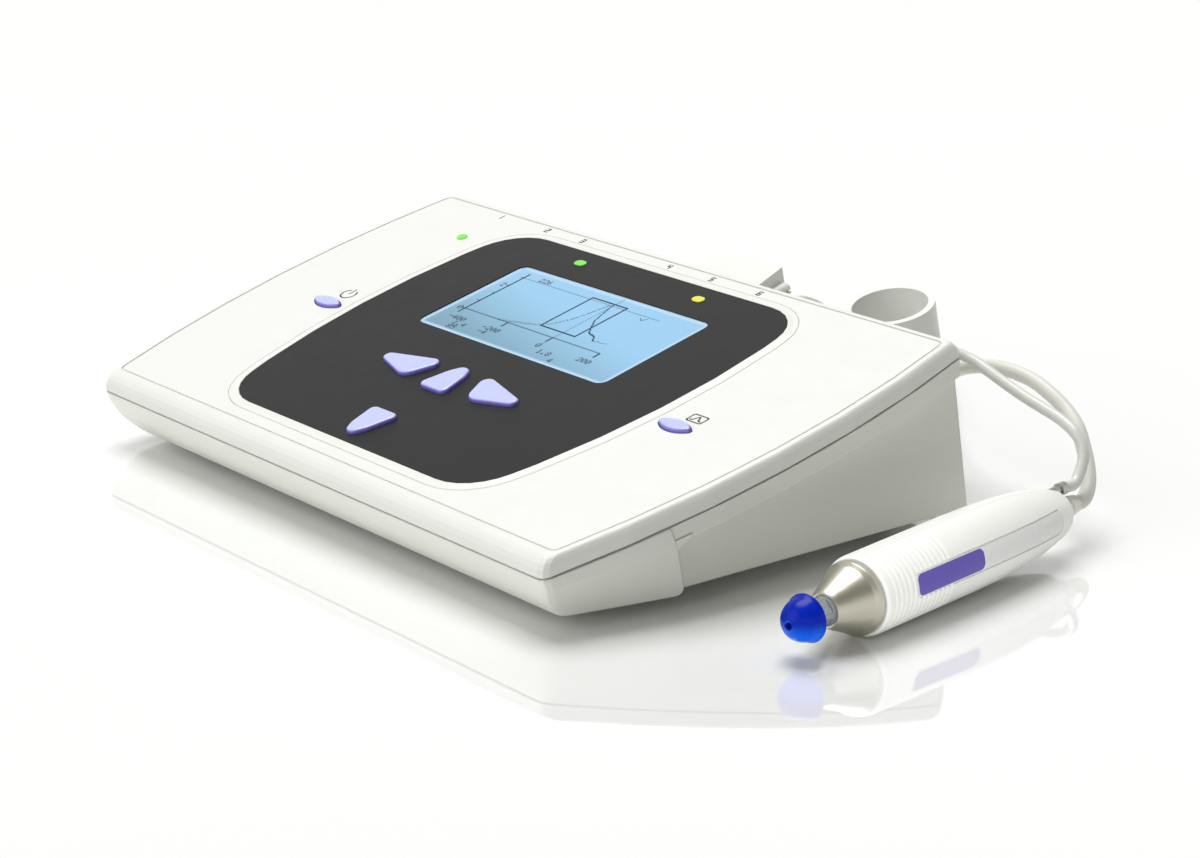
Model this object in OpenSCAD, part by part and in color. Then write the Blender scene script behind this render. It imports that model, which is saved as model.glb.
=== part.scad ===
/* [Case] */
// Width of the case at its front corners
case_front_w = 240; // [232:1:250]
// Width of the case at its rear corners
case_rear_w = 260; // [254:1:270]
// How far each side bows out of a straight line
side_bow = 9.3; // [6:0.1:12]
// Length of the case along its sloping top
case_len = 167; // [164:1:176]
// Slope of the top
top_tilt = 14; // [12:0.5:16]
// Height of the case seam at its front edge
seam_h = 19; // [18:0.5:23]
// Height of the top face over the seam
cover_h = 5.8; // [5.4:0.1:7]
// Depth of the band that hangs below the seam
band_h = 6.8; // [5.8:0.1:8]
// Wall of both case halves
case_wall = 2.5; // [2:0.1:2.8]
// Width of the shadow line at the seam
seam_gap = 0.6; // [0.3:0.1:0.9]
// Radius of the rounded front edge of the top
front_edge_r = 6; // [4:0.5:7]
// Radius of the rounded side edges of the top
side_edge_r = 2.6; // [1.5:0.1:3.4]
// Length of the full-width front part of the lower case
nose_len = 43.5; // [40:0.5:48]
// How far the front face slopes back on its way down
nose_slope = 10; // [8:0.5:13]
// How far the side of the front part slopes in
nose_side_slope = 5.4; // [4.6:0.1:6]
// Half width of the narrow base at its front
base_front_half = 123.3; // [118:0.5:124]
// Half width of the narrow base at its rear
base_rear_half = 127; // [124:0.5:128]
// How far the base wall leans out on its way up
base_draft = 2.4; // [1:0.1:3]
// Gap from the rear edge of the case to the rear wall
rear_overhang = 3.7; // [3:0.1:5]
/* [Feet] */
// Height of the front feet
front_foot_h = 4.5; // [3.5:0.5:5]
// Height of the rear feet
rear_foot_h = 6; // [5:0.5:7]
// Diameter of each foot
foot_d = 12; // [9:0.5:14]
/* [Panel] */
// Half width of the dark panel at its widest
panel_half = 79.5; // [77:0.5:81]
// Distance of the panel from the front edge
panel_front = 16; // [15:0.5:18]
// Distance of the panel's rear edge from the front edge
panel_rear = 153.9; // [152.5:0.1:154.5]
// Radius of the panel's front corners
panel_front_r = 19.8; // [14:0.2:22]
// Radius of the panel's rear corners
panel_rear_r = 18.8; // [12:0.2:21]
// Height of the raised panel over the top face
panel_rise = 0.35; // [0.2:0.05:0.8]
// Width of the white lip around the panel
panel_lip = 3.2; // [2.4:0.1:3.6]
// Thickness of the printed films
film_t = 0.4; // [0.3:0.05:0.6]
// Width of the groove around the white film
groove_w = 0.6; // [0.4:0.1:1]
/* [Screen] */
// Width of the screen window
screen_w = 98; // [92:1:100]
// Height of the screen window along the slope
screen_h = 49.3; // [46:0.1:50]
// Middle of the screen window from the front edge
screen_v = 110.6; // [109.6:0.1:111.6]
// Thickness of the window
window_t = 1.2; // [1:0.1:1.6]
// How far the window lies below the dark panel
window_sink = 0.45; // [0.2:0.05:0.6]
/* [Keys] */
// Travel of every key
key_travel = 0.8; // [0.5:0.1:1]
// Height of the key crowns over the surface around them
key_proud = 1.4; // [1.1:0.1:1.7]
// Gap between a key and its opening
key_gap = 0.3; // [0.2:0.05:0.4]
// Width of the flange that holds a key in
key_flange = 1.2; // [0.9:0.1:1.5]
// Length of the eye-shaped side keys
eye_key_l = 15.5; // [13:0.5:17]
// Width of the eye-shaped side keys
eye_key_w = 6.5; // [5.5:0.5:7.5]
/* [Sockets] */
// Depth of the socket axes below the seam plane
socket_drop = 15; // [14.5:0.25:16]
// Thickness of the printed circuit boards
board_t = 1.6; // [1.2:0.1:2]
/* [Pump] */
// Stroke of the pump piston
pump_stroke = 14; // [8:1:16]
// Bore of the pump cylinder
pump_bore = 18; // [16:0.5:19]
// Travel of the piston for each turn of the screw
screw_lead = 6; // [4:1:8]
/* [Probe holder] */
// Bore of the probe holder
holder_d = 25.5; // [25.2:0.1:26.5]
// Wall of the probe holder
holder_wall = 2.25; // [1.5:0.25:3]
// Depth of the probe holder
holder_depth = 40; // [34:1:46]
/* [Probe] */
// Diameter of the probe handle
handle_d = 25; // [23:0.25:25]
// Length of the handle behind the nose cone
handle_len = 106; // [104:1:110]
// Length of the metal nose cone
cone_len = 14; // [12:0.5:16]
// Width of the dark ring between cone and handle
ring_w = 0.6; // [0.4:0.1:1]
// Wall of the handle shells
shell_wall = 1.8; // [1.5:0.1:2.2]
// Diameter of the clear tip
tip_d = 9; // [8:0.25:9.2]
// Diameter of the soft ear tip
ear_tip_d = 15.2; // [12:0.2:17]
// Pull-off travel of the ear tip
ear_tip_travel = 12; // [8:1:16]
/* [Lead] */
// Diameter of the probe cable
cable_d = 5; // [4.6:0.1:5]
// Diameter of the air tube
tube_d = 3.8; // [3.4:0.1:3.8]
// Bore of the air tube
tube_bore = 2; // [1.6:0.1:2.2]
/* [Hidden] */
$fn = 48;
fit = 0.05;
seat = 0.02;
sn = sin(top_tilt);
cs = cos(top_tilt);
tn = tan(top_tilt);
// Where the frame's origin lies under the case and the handle together
origin_x = 25.2;
origin_y = 101;
// Height of the raised panel and levels across the slope
panel_n = cover_h + panel_rise;
under_n = cover_h - case_wall;
board_n = -5;
side_steps = 6;
// How far the rear edge of the front part leans over its height
nose_lean = 4;
window_r = 3.4;
rear_wall_v = case_len - rear_overhang;
film_front = 7;
film_side = 3.7;
film_rear = 3.8;
// Key places on the slope: middle across, middle along
arrow_gap = 23.5;
arrow_v = 62.6;
up_v = 61.9;
down_v = 28.1;
eye_x = 92;
eye_v = 79;
indicator_x = 30.7;
indicator_v = 146;
power_light = [-91.5, 140.5];
board_half = 100;
board_v0 = 18;
board_v1 = 151;
board_side_x = board_half - 5;
board_posts = [[-64, 24], [64, 24], [-64, 146], [64, 146], [-board_side_x, 112], [board_side_x, 112]];
case_post_d = 10;
case_posts = [[-107, 26], [107, 26], [-114, 150], [114, 150]];
socket_board_n = -socket_drop - 6.5;
socket_board_v0 = 138;
socket_board_x0 = -104;
socket_board_w = 165;
socket_posts = [[-100, 142], [-30, 142], [56.5, 142]];
power_x = -91.5;
usb_x = -65;
printer_x = -46;
air_x = 25.6;
contra_x = 46;
foot_places = [[-88, 32, 0], [88, 32, 0], [-105, 150, 1], [105, 150, 1]];
// Probe handle: middle of the cone's rear ring, heading and lift of its axis
probe_at = [173.3, 73.2, 12.46];
probe_heading = 6;
probe_lift = 1;
holder_at = [82.9, 183.3];
holder_screws = [holder_at.x - 13, holder_at.x + 13];
holder_screw_n = -24;
// Plug of the probe lead
hood_v = 166;
hood_end_v = 199;
hood_top_n = -8;
hood_half = 19.6;
boot_angle = 60;
jack_x = 16.5;
boot_len = 10;

// Small helpers for points
function unit(v) = v / norm(v);
function half_w(v) = let(s = v / case_len)
    case_front_w / 2 + (case_rear_w - case_front_w) / 2 * s + 4 * side_bow * s * (1 - s);
function turn_to(a, b) = let(d = b - a) d > 180 ? d - 360 : d < -180 ? d + 360 : d;
function corner_arc(a, b, c, r, k) = let(
    u = unit(a - b),
    w = unit(c - b),
    t = acos(u * w) / 2,
    m = b + unit(u + w) * r / sin(t),
    p = b + u * r / tan(t) - m,
    q = b + w * r / tan(t) - m,
    a0 = atan2(p.y, p.x),
    da = turn_to(a0, atan2(q.y, q.x)))
    [for (i = [0:k]) m + r * [cos(a0 + da * i / k), sin(a0 + da * i / k)]];
function rounded(pts, rs, k = 4) = let(n = len(pts))
    [for (i = [0:n - 1]) each rs[i] > 0
        ? corner_arc(pts[(i + n - 1) % n], pts[i], pts[(i + 1) % n], rs[i], k) : [pts[i]]];
// Outline of the case, pulled in from the front, the sides and the rear
function case_outline(ef, es, er, rf = 3, rr = 2, v0 = 0, k = 2) = let(
    va = v0 + ef,
    vb = case_len - er,
    side = [for (i = [0:side_steps]) let(v = va + (vb - va) * i / side_steps) [half_w(v) - es, v]],
    left = [for (i = [side_steps:-1:0]) [-side[i].x, side[i].y]],
    rs = [for (i = [0:side_steps]) i == 0 ? rf : i == side_steps ? rr : 0])
    rounded(concat(side, left), concat(rs, [for (i = [side_steps:-1:0]) rs[i]]), k);
// Outline of the dark panel, grown by e
function panel_outline(e) = let(
    k = 0.00186,
    va = panel_front - e,
    vb = panel_rear + e,
    side = [for (i = [0:6]) let(v = va + (vb - va) * i / 6)
        [panel_half + e - k * (v - 101) * (v - 101), v]],
    left = [for (i = [6:-1:0]) [-side[i].x, side[i].y]],
    rs = [for (i = [0:6]) i == 0 ? panel_front_r + e : i == 6 ? panel_rear_r + e : 0])
    rounded(concat(side, left), concat(rs, [for (i = [6:-1:0]) rs[i]]), 6);
function lift(pts, z) = [for (p = pts) [p.x, p.y, z]];
// A closed solid through rings that all have the same number of points
module loft(rings) {
    n = len(rings[0]);
    m = len(rings);
    sides = [for (j = [0:m - 2], i = [0:n - 1]) each let(
        a = j * n + i, b = j * n + (i + 1) % n, c = a + n, d = b + n) [[a, c, b], [b, c, d]]];
    polyhedron([for (r = rings) each r], concat(sides,
        [[for (i = [0:n - 1]) i]], [[for (i = [n - 1:-1:0]) (m - 1) * n + i]]));
}
// A tube swept along route points, with square ends
function headings(p) = let(n = len(p))
    [for (i = [0:n - 1]) unit(p[min(i + 1, n - 1)] - p[max(i - 1, 0)])];
function carried(t) = let(n = len(t), u0 = unit(cross(t[0], abs(t[0].z) > 0.9 ? [1, 0, 0] : [0, 0, 1])))
    [for (i = 0, u = u0; i < n; i = i + 1,
        u = unit(u - (u * t[min(i, n - 1)]) * t[min(i, n - 1)])) u];
module swept(path, d, sides = 8) {
    t = headings(path);
    u = carried(t);
    loft([for (i = [0:len(path) - 1]) [for (a = [0:sides - 1]) path[i]
        + d / 2 * (cos(360 * a / sides) * u[i] + sin(360 * a / sides) * cross(t[i], u[i]))]]);
}
function route_length(p, i = 0) = i >= len(p) - 1 ? 0 : norm(p[i + 1] - p[i]) + route_length(p, i + 1);
// From the slope's own measures to the case frame
function on_slope_point(p) = [p.x, p.y * cs - p.z * sn, seam_h + p.y * sn + p.z * cs];
function floor_n(v, z) = (z - seam_h - v * sn) / cs;
module placed() translate([-origin_x, -origin_y, 0]) children();
module slope() placed() translate([0, 0, seam_h]) rotate([top_tilt, 0, 0]) children();
module plate(pts, n0, n1) translate([0, 0, n0]) linear_extrude(n1 - n0) polygon(pts);
module post(p, n0, n1, d) translate([p.x, p.y, n0]) cylinder(d = d, h = n1 - n0);

// Key outlines
function grown(pts, e) = let(n = len(pts)) [for (i = [0:n - 1]) let(
    b = pts[i],
    u = unit(pts[(i + n - 1) % n] - b),
    w = unit(pts[(i + 1) % n] - b))
    b - unit(u + w) * e / sin(acos(u * w) / 2)];
function arrow_outline(e) = rounded(grown([[-17.8, -0.4], [6.7, -7.7], [13.8, 8]], e),
    [2.4 + e, 5 + e, 3 + e], 5);
function up_outline(e) = rounded(
    grown([[-7.1, -8.1], [7.1, -8.1], [4.4, 3.4], [1.85, 8], [-1.85, 8], [-4.4, 3.4]], e),
    [2.3 + e, 2.3 + e, 6 + e, 3.1 + e, 3.1 + e, 6 + e], 4);
function eye_outline(e) = let(
    l = eye_key_l / 2 + e,
    w = eye_key_w / 2 + e,
    r = (l * l + w * w) / (2 * w),
    a = asin(l / r) * 0.9)
    concat([for (i = [-5:5]) [r * sin(a * i / 5), w - r + r * cos(a * i / 5)]],
        [for (i = [-5:5]) [-r * sin(a * i / 5), -(w - r + r * cos(a * i / 5))]]);
// A key with its retaining flange, stem and crowned cap; face is the level around it
module key_solid(cap, flange, face) {
    color("mediumslateblue") {
        plate(flange, under_n - 0.2 - 1.1, under_n - 0.2);
        plate(cap, under_n - 0.25, face + key_proud * 0.55);
        translate([0, 0, face + key_proud * 0.55]) linear_extrude(key_proud * 0.45, scale = 0.8) polygon(cap);
        translate([0, 0, board_n + 3.5 + key_travel + fit])
            cylinder(d = 3, h = under_n - 1 - board_n - 3.5 - key_travel);
    }
}
module left_key() slope() translate([-arrow_gap, arrow_v, 0])
    key_solid(arrow_outline(0), arrow_outline(key_flange), panel_n);
module right_key() slope() translate([arrow_gap, arrow_v, 0]) mirror([1, 0, 0])
    key_solid(arrow_outline(0), arrow_outline(key_flange), panel_n);
module up_key() slope() translate([0, up_v, 0])
    key_solid(up_outline(0), up_outline(key_flange), panel_n);
module down_key() slope() translate([0, down_v, 0]) mirror([0, 1, 0])
    key_solid(up_outline(0), up_outline(key_flange), panel_n);
module power_key() slope() translate([-eye_x, eye_v, 0])
    key_solid(eye_outline(0), eye_outline(key_flange), cover_h);
module display_key() slope() translate([eye_x, eye_v, 0])
    key_solid(eye_outline(0), eye_outline(key_flange), cover_h);
// The openings that the keys and lights come through, from level n0 up
module key_openings(n0) {
    translate([-arrow_gap, arrow_v, 0]) plate(arrow_outline(key_gap), n0, 12);
    translate([arrow_gap, arrow_v, 0]) mirror([1, 0, 0]) plate(arrow_outline(key_gap), n0, 12);
    translate([0, up_v, 0]) plate(up_outline(key_gap), n0, 12);
    translate([0, down_v, 0]) mirror([0, 1, 0]) plate(up_outline(key_gap), n0, 12);
    for (x = [-eye_x, eye_x])
        translate([x, eye_v, 0]) plate(eye_outline(key_gap), n0, 12);
    for (x = [-indicator_x, indicator_x])
        translate([x, indicator_v, n0]) oval(5 + 2 * seat, 3.5 + 2 * seat, 12 - n0);
    post(power_light, n0, 12, 4 + 2 * seat);
}
module oval(l, w, h) {
    for (s = [-1, 1])
        translate([s * (l - w) / 2, 0, 0]) cylinder(d = w, h = h);
    translate([-(l - w) / 2, -w / 2, 0]) cube([l - w, w, h]);
}

// Lower case: band under the seam, full-width nose and narrow base, all open at the top
nose_levels = [[0, 0, 0], [0.12, 0.05, 0.01], [0.25, 0.12, 0.05], [0.4, 0.22, 0.2], [0.55, 0.33, 0.4],
    [0.7, 0.49, 0.6], [0.85, 0.72, 0.8], [1, 1, 1]];
// Ring of the nose at share q of the way down to level low, pulled in by e
function nose_rear(q, low) = let(v = nose_len + nose_lean * (q - 0.5))
    v * cs + q * (seam_h + v * sn - low) * tn;
function nose_ring(q, front, side, low, e, reach) = let(
    yf = front + e,
    yr = nose_rear(q, low) - e + reach,
    right = [for (i = [0:side_steps]) let(s = i / side_steps, y = yf + (yr - yf) * s)
        [half_w(yf * (1 - s) + (nose_len + reach) * s) - side * (1.22 - 0.4 * s) - e, y]],
    left = [for (i = [side_steps:-1:0]) [-right[i].x, right[i].y]],
    rs = [for (i = [0:side_steps]) i == 0 ? 3 : 0],
    flat = rounded(concat(right, left), concat(rs, [for (i = [side_steps:-1:0]) rs[i]]), 2))
    [for (p = flat) [p.x, p.y, (1 - q) * (seam_h + p.y * tn) + q * low]];
module nose(e, low, reach = 0) {
    loft([for (i = [len(nose_levels) - 1:-1:0]) let(l = nose_levels[i])
        nose_ring(l[0], l[1] * nose_slope, l[2] * nose_side_slope, low, e, reach)]);
}
// The nose with its lower rear corner rounded, and the fillet between it and the band
module outer_nose(low) {
    foot = [nose_rear(1, low), low];
    knee = [nose_rear(0.5, low), 0.5 * (seam_h + nose_rear(0.5, low) * tn + low)];
    arc = corner_arc(foot - [9, 0], foot, knee, 2, 5);
    difference() {
        nose(0, low);
        rotate([90, 0, 90]) linear_extrude(300, center = true)
            polygon(concat([arc[0] - [0, 0.8]], arc, [arc[5] + [0.8, 0], foot + [2, -2]]));
    }
    v = nose_len - 0.6;
    intersection() {
        nose(0.12, low, 12);
        translate([0, 0, seam_h]) rotate([top_tilt, 0, 0]) rotate([90, 0, 90])
            linear_extrude(300, center = true) polygon([[v - 3, -5], [v + 5.5, -5], [v + 5.9, 0.2 - band_h],
                [v + 3.9, -band_h - 0.12], [v + 2.4, -band_h - 0.7], [v + 1.2, -band_h - 1.7],
                [v + 0.5, -band_h - 2.8], [v, -band_h - 4.3], [v - 3, -band_h - 4.3]]);
    }
}
// Straight-sided base between the band and the underside
module base_box(e, low, top_n) {
    v0 = nose_len - 8 + e;
    v1 = rear_wall_v - e;
    xf = base_front_half - e;
    xr = base_rear_half - e;
    yr = (v1 - (low - seam_h) * sn) / cs;
    top = [[xf + base_draft / 2, v0], [xr + base_draft, v1],
        [-xr - base_draft, v1], [-xf - base_draft / 2, v0]];
    loft([[[xf, v0 * cs + 4, low], [xr, yr, low], [-xr, yr, low], [-xf, v0 * cs + 4, low]],
        [for (p = top) on_slope_point([p.x, p.y, top_n])]]);
}
module band(e, n1) {
    levels = [[-band_h, 1.1], [-band_h * 0.96, 0.7], [-band_h * 0.9, 0.5], [-band_h * 0.5, 0.25], [n1, 0.08]];
    translate([0, 0, seam_h]) rotate([top_tilt, 0, 0])
        loft([for (l = levels) lift(case_outline(0, l[1] + e, l[1] + e, 3, 2, nose_len - 4), l[0])]);
}
module case_posts_outer() {
    translate([0, 0, seam_h]) rotate([top_tilt, 0, 0])
        for (i = [0:3]) let(p = case_posts[i], z = i < 2 ? front_foot_h : rear_foot_h)
            post(p, floor_n(p.y, z + case_wall) - 1.2, -6, case_post_d);
}
module lower_case() color("lightgray") placed() {
    rim = seam_gap / 2;
    difference() {
        union() {
            outer_nose(front_foot_h);
            base_box(0, rear_foot_h, -band_h * 0.7);
            band(0, -rim);
            translate([0, 0, seam_h]) rotate([top_tilt, 0, 0])
                plate(case_outline(1, 1, 1, 2.5, 1.5, 0), -2, rim);
        }
        nose(case_wall, front_foot_h + case_wall);
        base_box(case_wall, rear_foot_h + case_wall, -band_h * 0.7 + 3);
        translate([0, 0, seam_h]) rotate([top_tilt, 0, 0]) {
            plate(case_outline(case_wall, case_wall, case_wall, 3, 2, 0), 2 - band_h, 20);
            // The seam is trimmed flat, lower at its outer edge for the shadow line
            translate([-200, -50, rim]) cube([400, 260, 40]);
            difference() {
                translate([-200, -50, -rim]) cube([400, 260, 10]);
                plate(case_outline(1, 1, 1, 2.5, 1.5, 0), -rim - 1, 11);
            }
            socket_openings();
            for (i = [0:3]) {
                post(case_posts[i], -80, -12, 7);
                post(case_posts[i], -13, 0, 3.2);
            }
            for (x = holder_screws)
                translate([x, rear_wall_v - 8, holder_screw_n]) rotate([-90, 0, 0])
                    cylinder(d = 3 + 2 * seat, h = 12);
        }
    }
    difference() {
        case_posts_outer();
        translate([0, 0, seam_h]) rotate([top_tilt, 0, 0])
            for (i = [0:3]) {
                post(case_posts[i], -80, -12, 7);
                post(case_posts[i], -13, 0, 3.2);
            }
    }
    translate([0, 0, seam_h]) rotate([top_tilt, 0, 0]) {
        for (p = socket_posts)
            difference() {
                post(p, floor_n(p.y, rear_foot_h + case_wall) - 1.2, socket_board_n - board_t, 7);
                post(p, socket_board_n - board_t - 8, 0, 3 + 2 * seat);
            }
        for (x = holder_screws)
            difference() {
                translate([x, rear_wall_v - case_wall - 5, holder_screw_n]) rotate([-90, 0, 0])
                    cylinder(d = 8, h = 5 + 0.5);
                translate([x, rear_wall_v - case_wall - 6, holder_screw_n]) rotate([-90, 0, 0])
                    cylinder(d = 3 + 2 * seat, h = 8);
            }
    }
}
// The places where the sockets come through the rear wall
module socket_openings() {
    n = -socket_drop;
    module hole(x, d) translate([x, rear_wall_v - 4, n]) rotate([-90, 0, 0]) cylinder(d = d, h = 8);
    module slot(x, w, h) translate([x - w / 2, rear_wall_v - 4, n - h / 2]) cube([w, 8, h]);
    hole(power_x, 11 + 2 * seat);
    slot(usb_x, 12.4, 11.2);
    hole(printer_x, 13 + 2 * seat);
    slot(0, 31, 12.6);
    for (x = [-jack_x, jack_x])
        hole(x, 5.4);
    hole(air_x, 8 + 2 * seat);
    hole(contra_x, 9 + 2 * seat);
}

// Upper case half with the raised panel, key openings and posts
module top_cover() color("whitesmoke") slope() {
    rim = seam_gap / 2;
    angles = [0, 25, 45, 62, 77, 90];
    difference() {
        union() {
            loft([for (a = angles) lift(case_outline(front_edge_r * (1 - cos(a)), side_edge_r * (1 - cos(a)),
                side_edge_r * (1 - cos(a))), rim + (cover_h - rim) * sin(a))]);
            loft([lift(panel_outline(panel_lip + 0.4), cover_h - 1),
                lift(panel_outline(panel_lip + 0.4), cover_h
                - film_t), lift(panel_outline(0.6), panel_n)]);
        }
        plate(case_outline(case_wall, case_wall, case_wall), -5, under_n);
        // Recess of the white film and pocket of the dark film
        difference() {
            plate(case_outline(film_front, film_side, film_rear, 2.5, 2.5), cover_h - film_t, 12);
            plate(panel_outline(panel_lip + 0.4), 0, 13);
        }
        plate(panel_outline(0), panel_n - film_t, 12);
        // Window: a seat for its edge and the opening under it
        window_block(screen_w, screen_h, window_r, panel_n - window_sink - window_t, 12);
        window_block(screen_w - 5, screen_h - 5, 1, 0, 12);
        key_openings(0);
    }
    for (p = case_posts)
        difference() {
            post(p, -6, under_n + 0.5, 8);
            post(p, -7, under_n - 1.5, 3 + 2 * seat);
        }
    for (p = board_posts)
        difference() {
            post(p, board_n, under_n + 0.5, 6.5);
            post(p, board_n - 1, under_n - 2, 3 + 2 * seat);
        }
}
module window_block(w, h, r, n0, n1) {
    plate(rounded([[-w / 2, screen_v - h / 2], [w / 2, screen_v - h / 2], [w / 2, screen_v + h / 2],
        [-w / 2, screen_v + h / 2]], [r, r, r, r], 4), n0, n1);
}
module top_film() color("white") slope() difference() {
    plate(case_outline(film_front + groove_w, film_side + groove_w, film_rear + groove_w, 2, 2),
        cover_h - film_t, cover_h);
    plate(panel_outline(panel_lip + 0.6), 0, 13);
    key_openings(0);
}
module panel_film() color("dimgray") slope() difference() {
    plate(panel_outline(-0.15), panel_n - film_t, panel_n);
    window_block(screen_w, screen_h, window_r, 0, 12);
    key_openings(0);
}
module screen_window() color("lightskyblue") slope()
    window_block(screen_w - 2 * fit, screen_h - 2 * fit, window_r, panel_n - window_sink - window_t,
        panel_n - window_sink);

// Screen module on the main board, with its ribbon
screen_h_out = 56;
screen_w_out = 106;
ribbon_w = 32;
module screen_module() color("silver") slope() {
    translate([-screen_w_out / 2, screen_v - screen_h_out / 2, board_n + 0.4])
        cube([screen_w_out, screen_h_out, under_n - 0.1 - board_n - 0.4]);
    window_block(screen_w - 6, screen_h - 6, 0.6, under_n - 0.5,
        panel_n - window_sink - window_t - 0.3);
    for (x = [5 - screen_w_out / 2, screen_w_out / 2 - 5], v = [screen_v - 24, screen_v + 24])
        post([x, v], board_n, board_n + 1, 5);
}
module screen_ribbon() color("goldenrod") slope() {
    v = screen_v - screen_h_out / 2;
    translate([-ribbon_w / 2, 0, 0]) rotate([90, 0, 90]) linear_extrude(ribbon_w)
        polygon([[v, -1], [v - 5, -1], [v - 6.5, -2.5], [v - 5, board_n + 0.3], [v - 1.5, board_n + 0.3],
            [v - 1.5, board_n], [v - 5.6, board_n], [v - 7, -2.5], [v - 5.4, -0.6], [v, -0.6]]);
}
module main_board() color("darkgreen") slope() difference() {
    plate(rounded([[-board_half, board_v0], [board_half, board_v0], [board_half, board_v1],
        [-board_half, board_v1]], [4, 4, 4, 4], 3), board_n - board_t, board_n);
    for (p = board_posts)
        post(p, -20, 0, 3.2);
    for (p = case_posts)
        post(p, -20, 0, case_post_d + 1);
}
// Switches under the six keys
key_places = [[-arrow_gap, arrow_v], [arrow_gap, arrow_v], [0, up_v], [0, down_v],
    [-eye_x, eye_v], [eye_x, eye_v]];
module key_switches() color("black") slope()
    for (p = key_places) {
        translate([p.x - 3, p.y - 3, board_n]) cube([6, 6, 2.9]);
        post(p, board_n + 2.5, board_n + 3.5, 3.4);
    }
module light_pipe(l, w, top) {
    oval(l, w, top - board_n);
}
module left_indicator() color("limegreen") slope()
    translate([-indicator_x, indicator_v, board_n]) light_pipe(5, 3.5, panel_n + 0.3);
module right_indicator() color("gold") slope()
    translate([indicator_x, indicator_v, board_n]) light_pipe(5, 3.5, panel_n + 0.3);
module power_indicator() color("limegreen") slope()
    post(power_light, board_n, cover_h + 0.4, 4);

// Fasteners
module screw(head_d, head_h, l) {
    difference() {
        translate([0, 0, -head_h]) cylinder(d = head_d, h = head_h);
        translate([0, 0, -head_h - 1]) cylinder(d = 2.4, h = 2.4, $fn = 6);
    }
    translate([0, 0, -0.5]) cylinder(d = 3, h = l + 0.5);
}
module case_screws() color("gray") slope() {
    for (p = case_posts)
        translate([p.x, p.y, -12]) screw(5.6, 2.4, 12);
    for (x = holder_screws)
        translate([x, rear_wall_v + 2, holder_screw_n]) rotate([90, 0, 0]) screw(5.6, 2.4, 8);
}
module board_screws() color("silver") slope() {
    for (p = board_posts)
        translate([p.x, p.y, board_n - board_t]) screw(5.5, 2, 6);
    for (p = socket_posts)
        translate([p.x, p.y, socket_board_n]) mirror([0, 0, 1]) screw(5.5, 2, 8);
}
module rubber_feet() color("dimgray") placed()
    for (f = foot_places) let(h = f.z > 0 ? rear_foot_h : front_foot_h) {
        translate([f.x, f.y, 0.6]) cylinder(d = foot_d, h = h - 0.6);
        translate([f.x, f.y, 0]) cylinder(d1 = foot_d - 1.2, d2 = foot_d, h = 0.6, $fn = 48);
    }
rating_w = 76;
rating_h = 46;
module rating_label() color("silver") placed()
    translate([-rating_w / 2, 84, rear_foot_h - 0.3]) cube([rating_w, rating_h, 0.3]);

// Sockets and their board behind the rear wall; each faces the rear along the slope
module socket_board() color("darkgreen") slope() difference() {
    translate([socket_board_x0, socket_board_v0, socket_board_n - board_t])
        cube([socket_board_w, rear_wall_v - case_wall - 0.5 - socket_board_v0, board_t]);
    for (p = socket_posts)
        post(p, -60, 0, 3.2);
}
module at_socket(x) translate([x, rear_wall_v, -socket_drop]) rotate([-90, 0, 0]) children();
module power_socket() color("black") slope() at_socket(power_x) {
    difference() {
        union() {
            translate([0, 0, -case_wall - 0.5]) cylinder(d = 11, h = case_wall + 0.5);
            translate([-4.5, -5.5, -15]) cube([9, 12, 15 - case_wall - 0.5]);
        }
        translate([0, 0, -11]) cylinder(d = 6.4, h = 12);
    }
    translate([0, 0, -12]) cylinder(d = 2, h = 11);
}
module usb_socket() color("silver") slope() at_socket(usb_x) {
    difference() {
        union() {
            translate([-6, -5.4, -17]) cube([12, 10.8, 17.3]);
            translate([-6, 0, -17]) cube([12, 6.5, 17 - case_wall - 0.5]);
        }
        translate([-4.4, -4, -12]) cube([8.8, 8.2, 13]);
    }
    translate([-2.8, -1.6, -12.5]) cube([5.6, 3.2, 7.5]);
}
module printer_socket() color("black") slope() at_socket(printer_x) difference() {
    union() {
        translate([0, 0, -case_wall - 0.5]) cylinder(d = 13, h = case_wall + 0.8);
        translate([-7, -6.3, -13]) cube([14, 12.8, 13 - case_wall - 0.5]);
    }
    translate([0, 0, -5]) cylinder(d = 9.2, h = 6);
    for (a = [0:72:359])
        rotate([0, 0, a]) translate([2.9, 0, -10]) cylinder(d = 1, h = 6);
}
// Nine-pin style shell shared by the socket and its plug
module d_shape(w, h) polygon(rounded(
    [[-w / 2, -h / 2], [w / 2, -h / 2], [w / 2 - 1.5, h / 2], [-w / 2 + 1.5, h / 2]],
    [1.8, 1.8, 1.8, 1.8], 3));
module probe_socket() color("silver") slope() at_socket(0) {
    difference() {
        union() {
            translate([-19.8, -6.2, -case_wall - 1.3]) cube([39.6, 12.4, 1.28]);
            translate([-15.4, -6.2, -14]) cube([30.8, 12.4, 13.8]);
            for (x = [-jack_x, jack_x])
                translate([x, 0, -case_wall - 1.3]) cylinder(d = 5.2, h = case_wall + 1.5);
        }
        translate([0, 0, -8]) linear_extrude(9) d_shape(25, 8.4);
        for (x = [-jack_x, jack_x])
            translate([x, 0, -15]) cylinder(d = 3 + 2 * fit, h = 17);
    }
}
module contra_socket() color("black") slope() at_socket(contra_x) difference() {
    union() {
        translate([0, 0, -case_wall - 0.5]) cylinder(d = 9, h = case_wall + 1.5);
        translate([-6, -5.2, -20]) cube([12, 11.7, 20 - case_wall - 0.5]);
    }
    translate([0, 0, -18]) cylinder(d = 6.4, h = 20);
}
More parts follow.
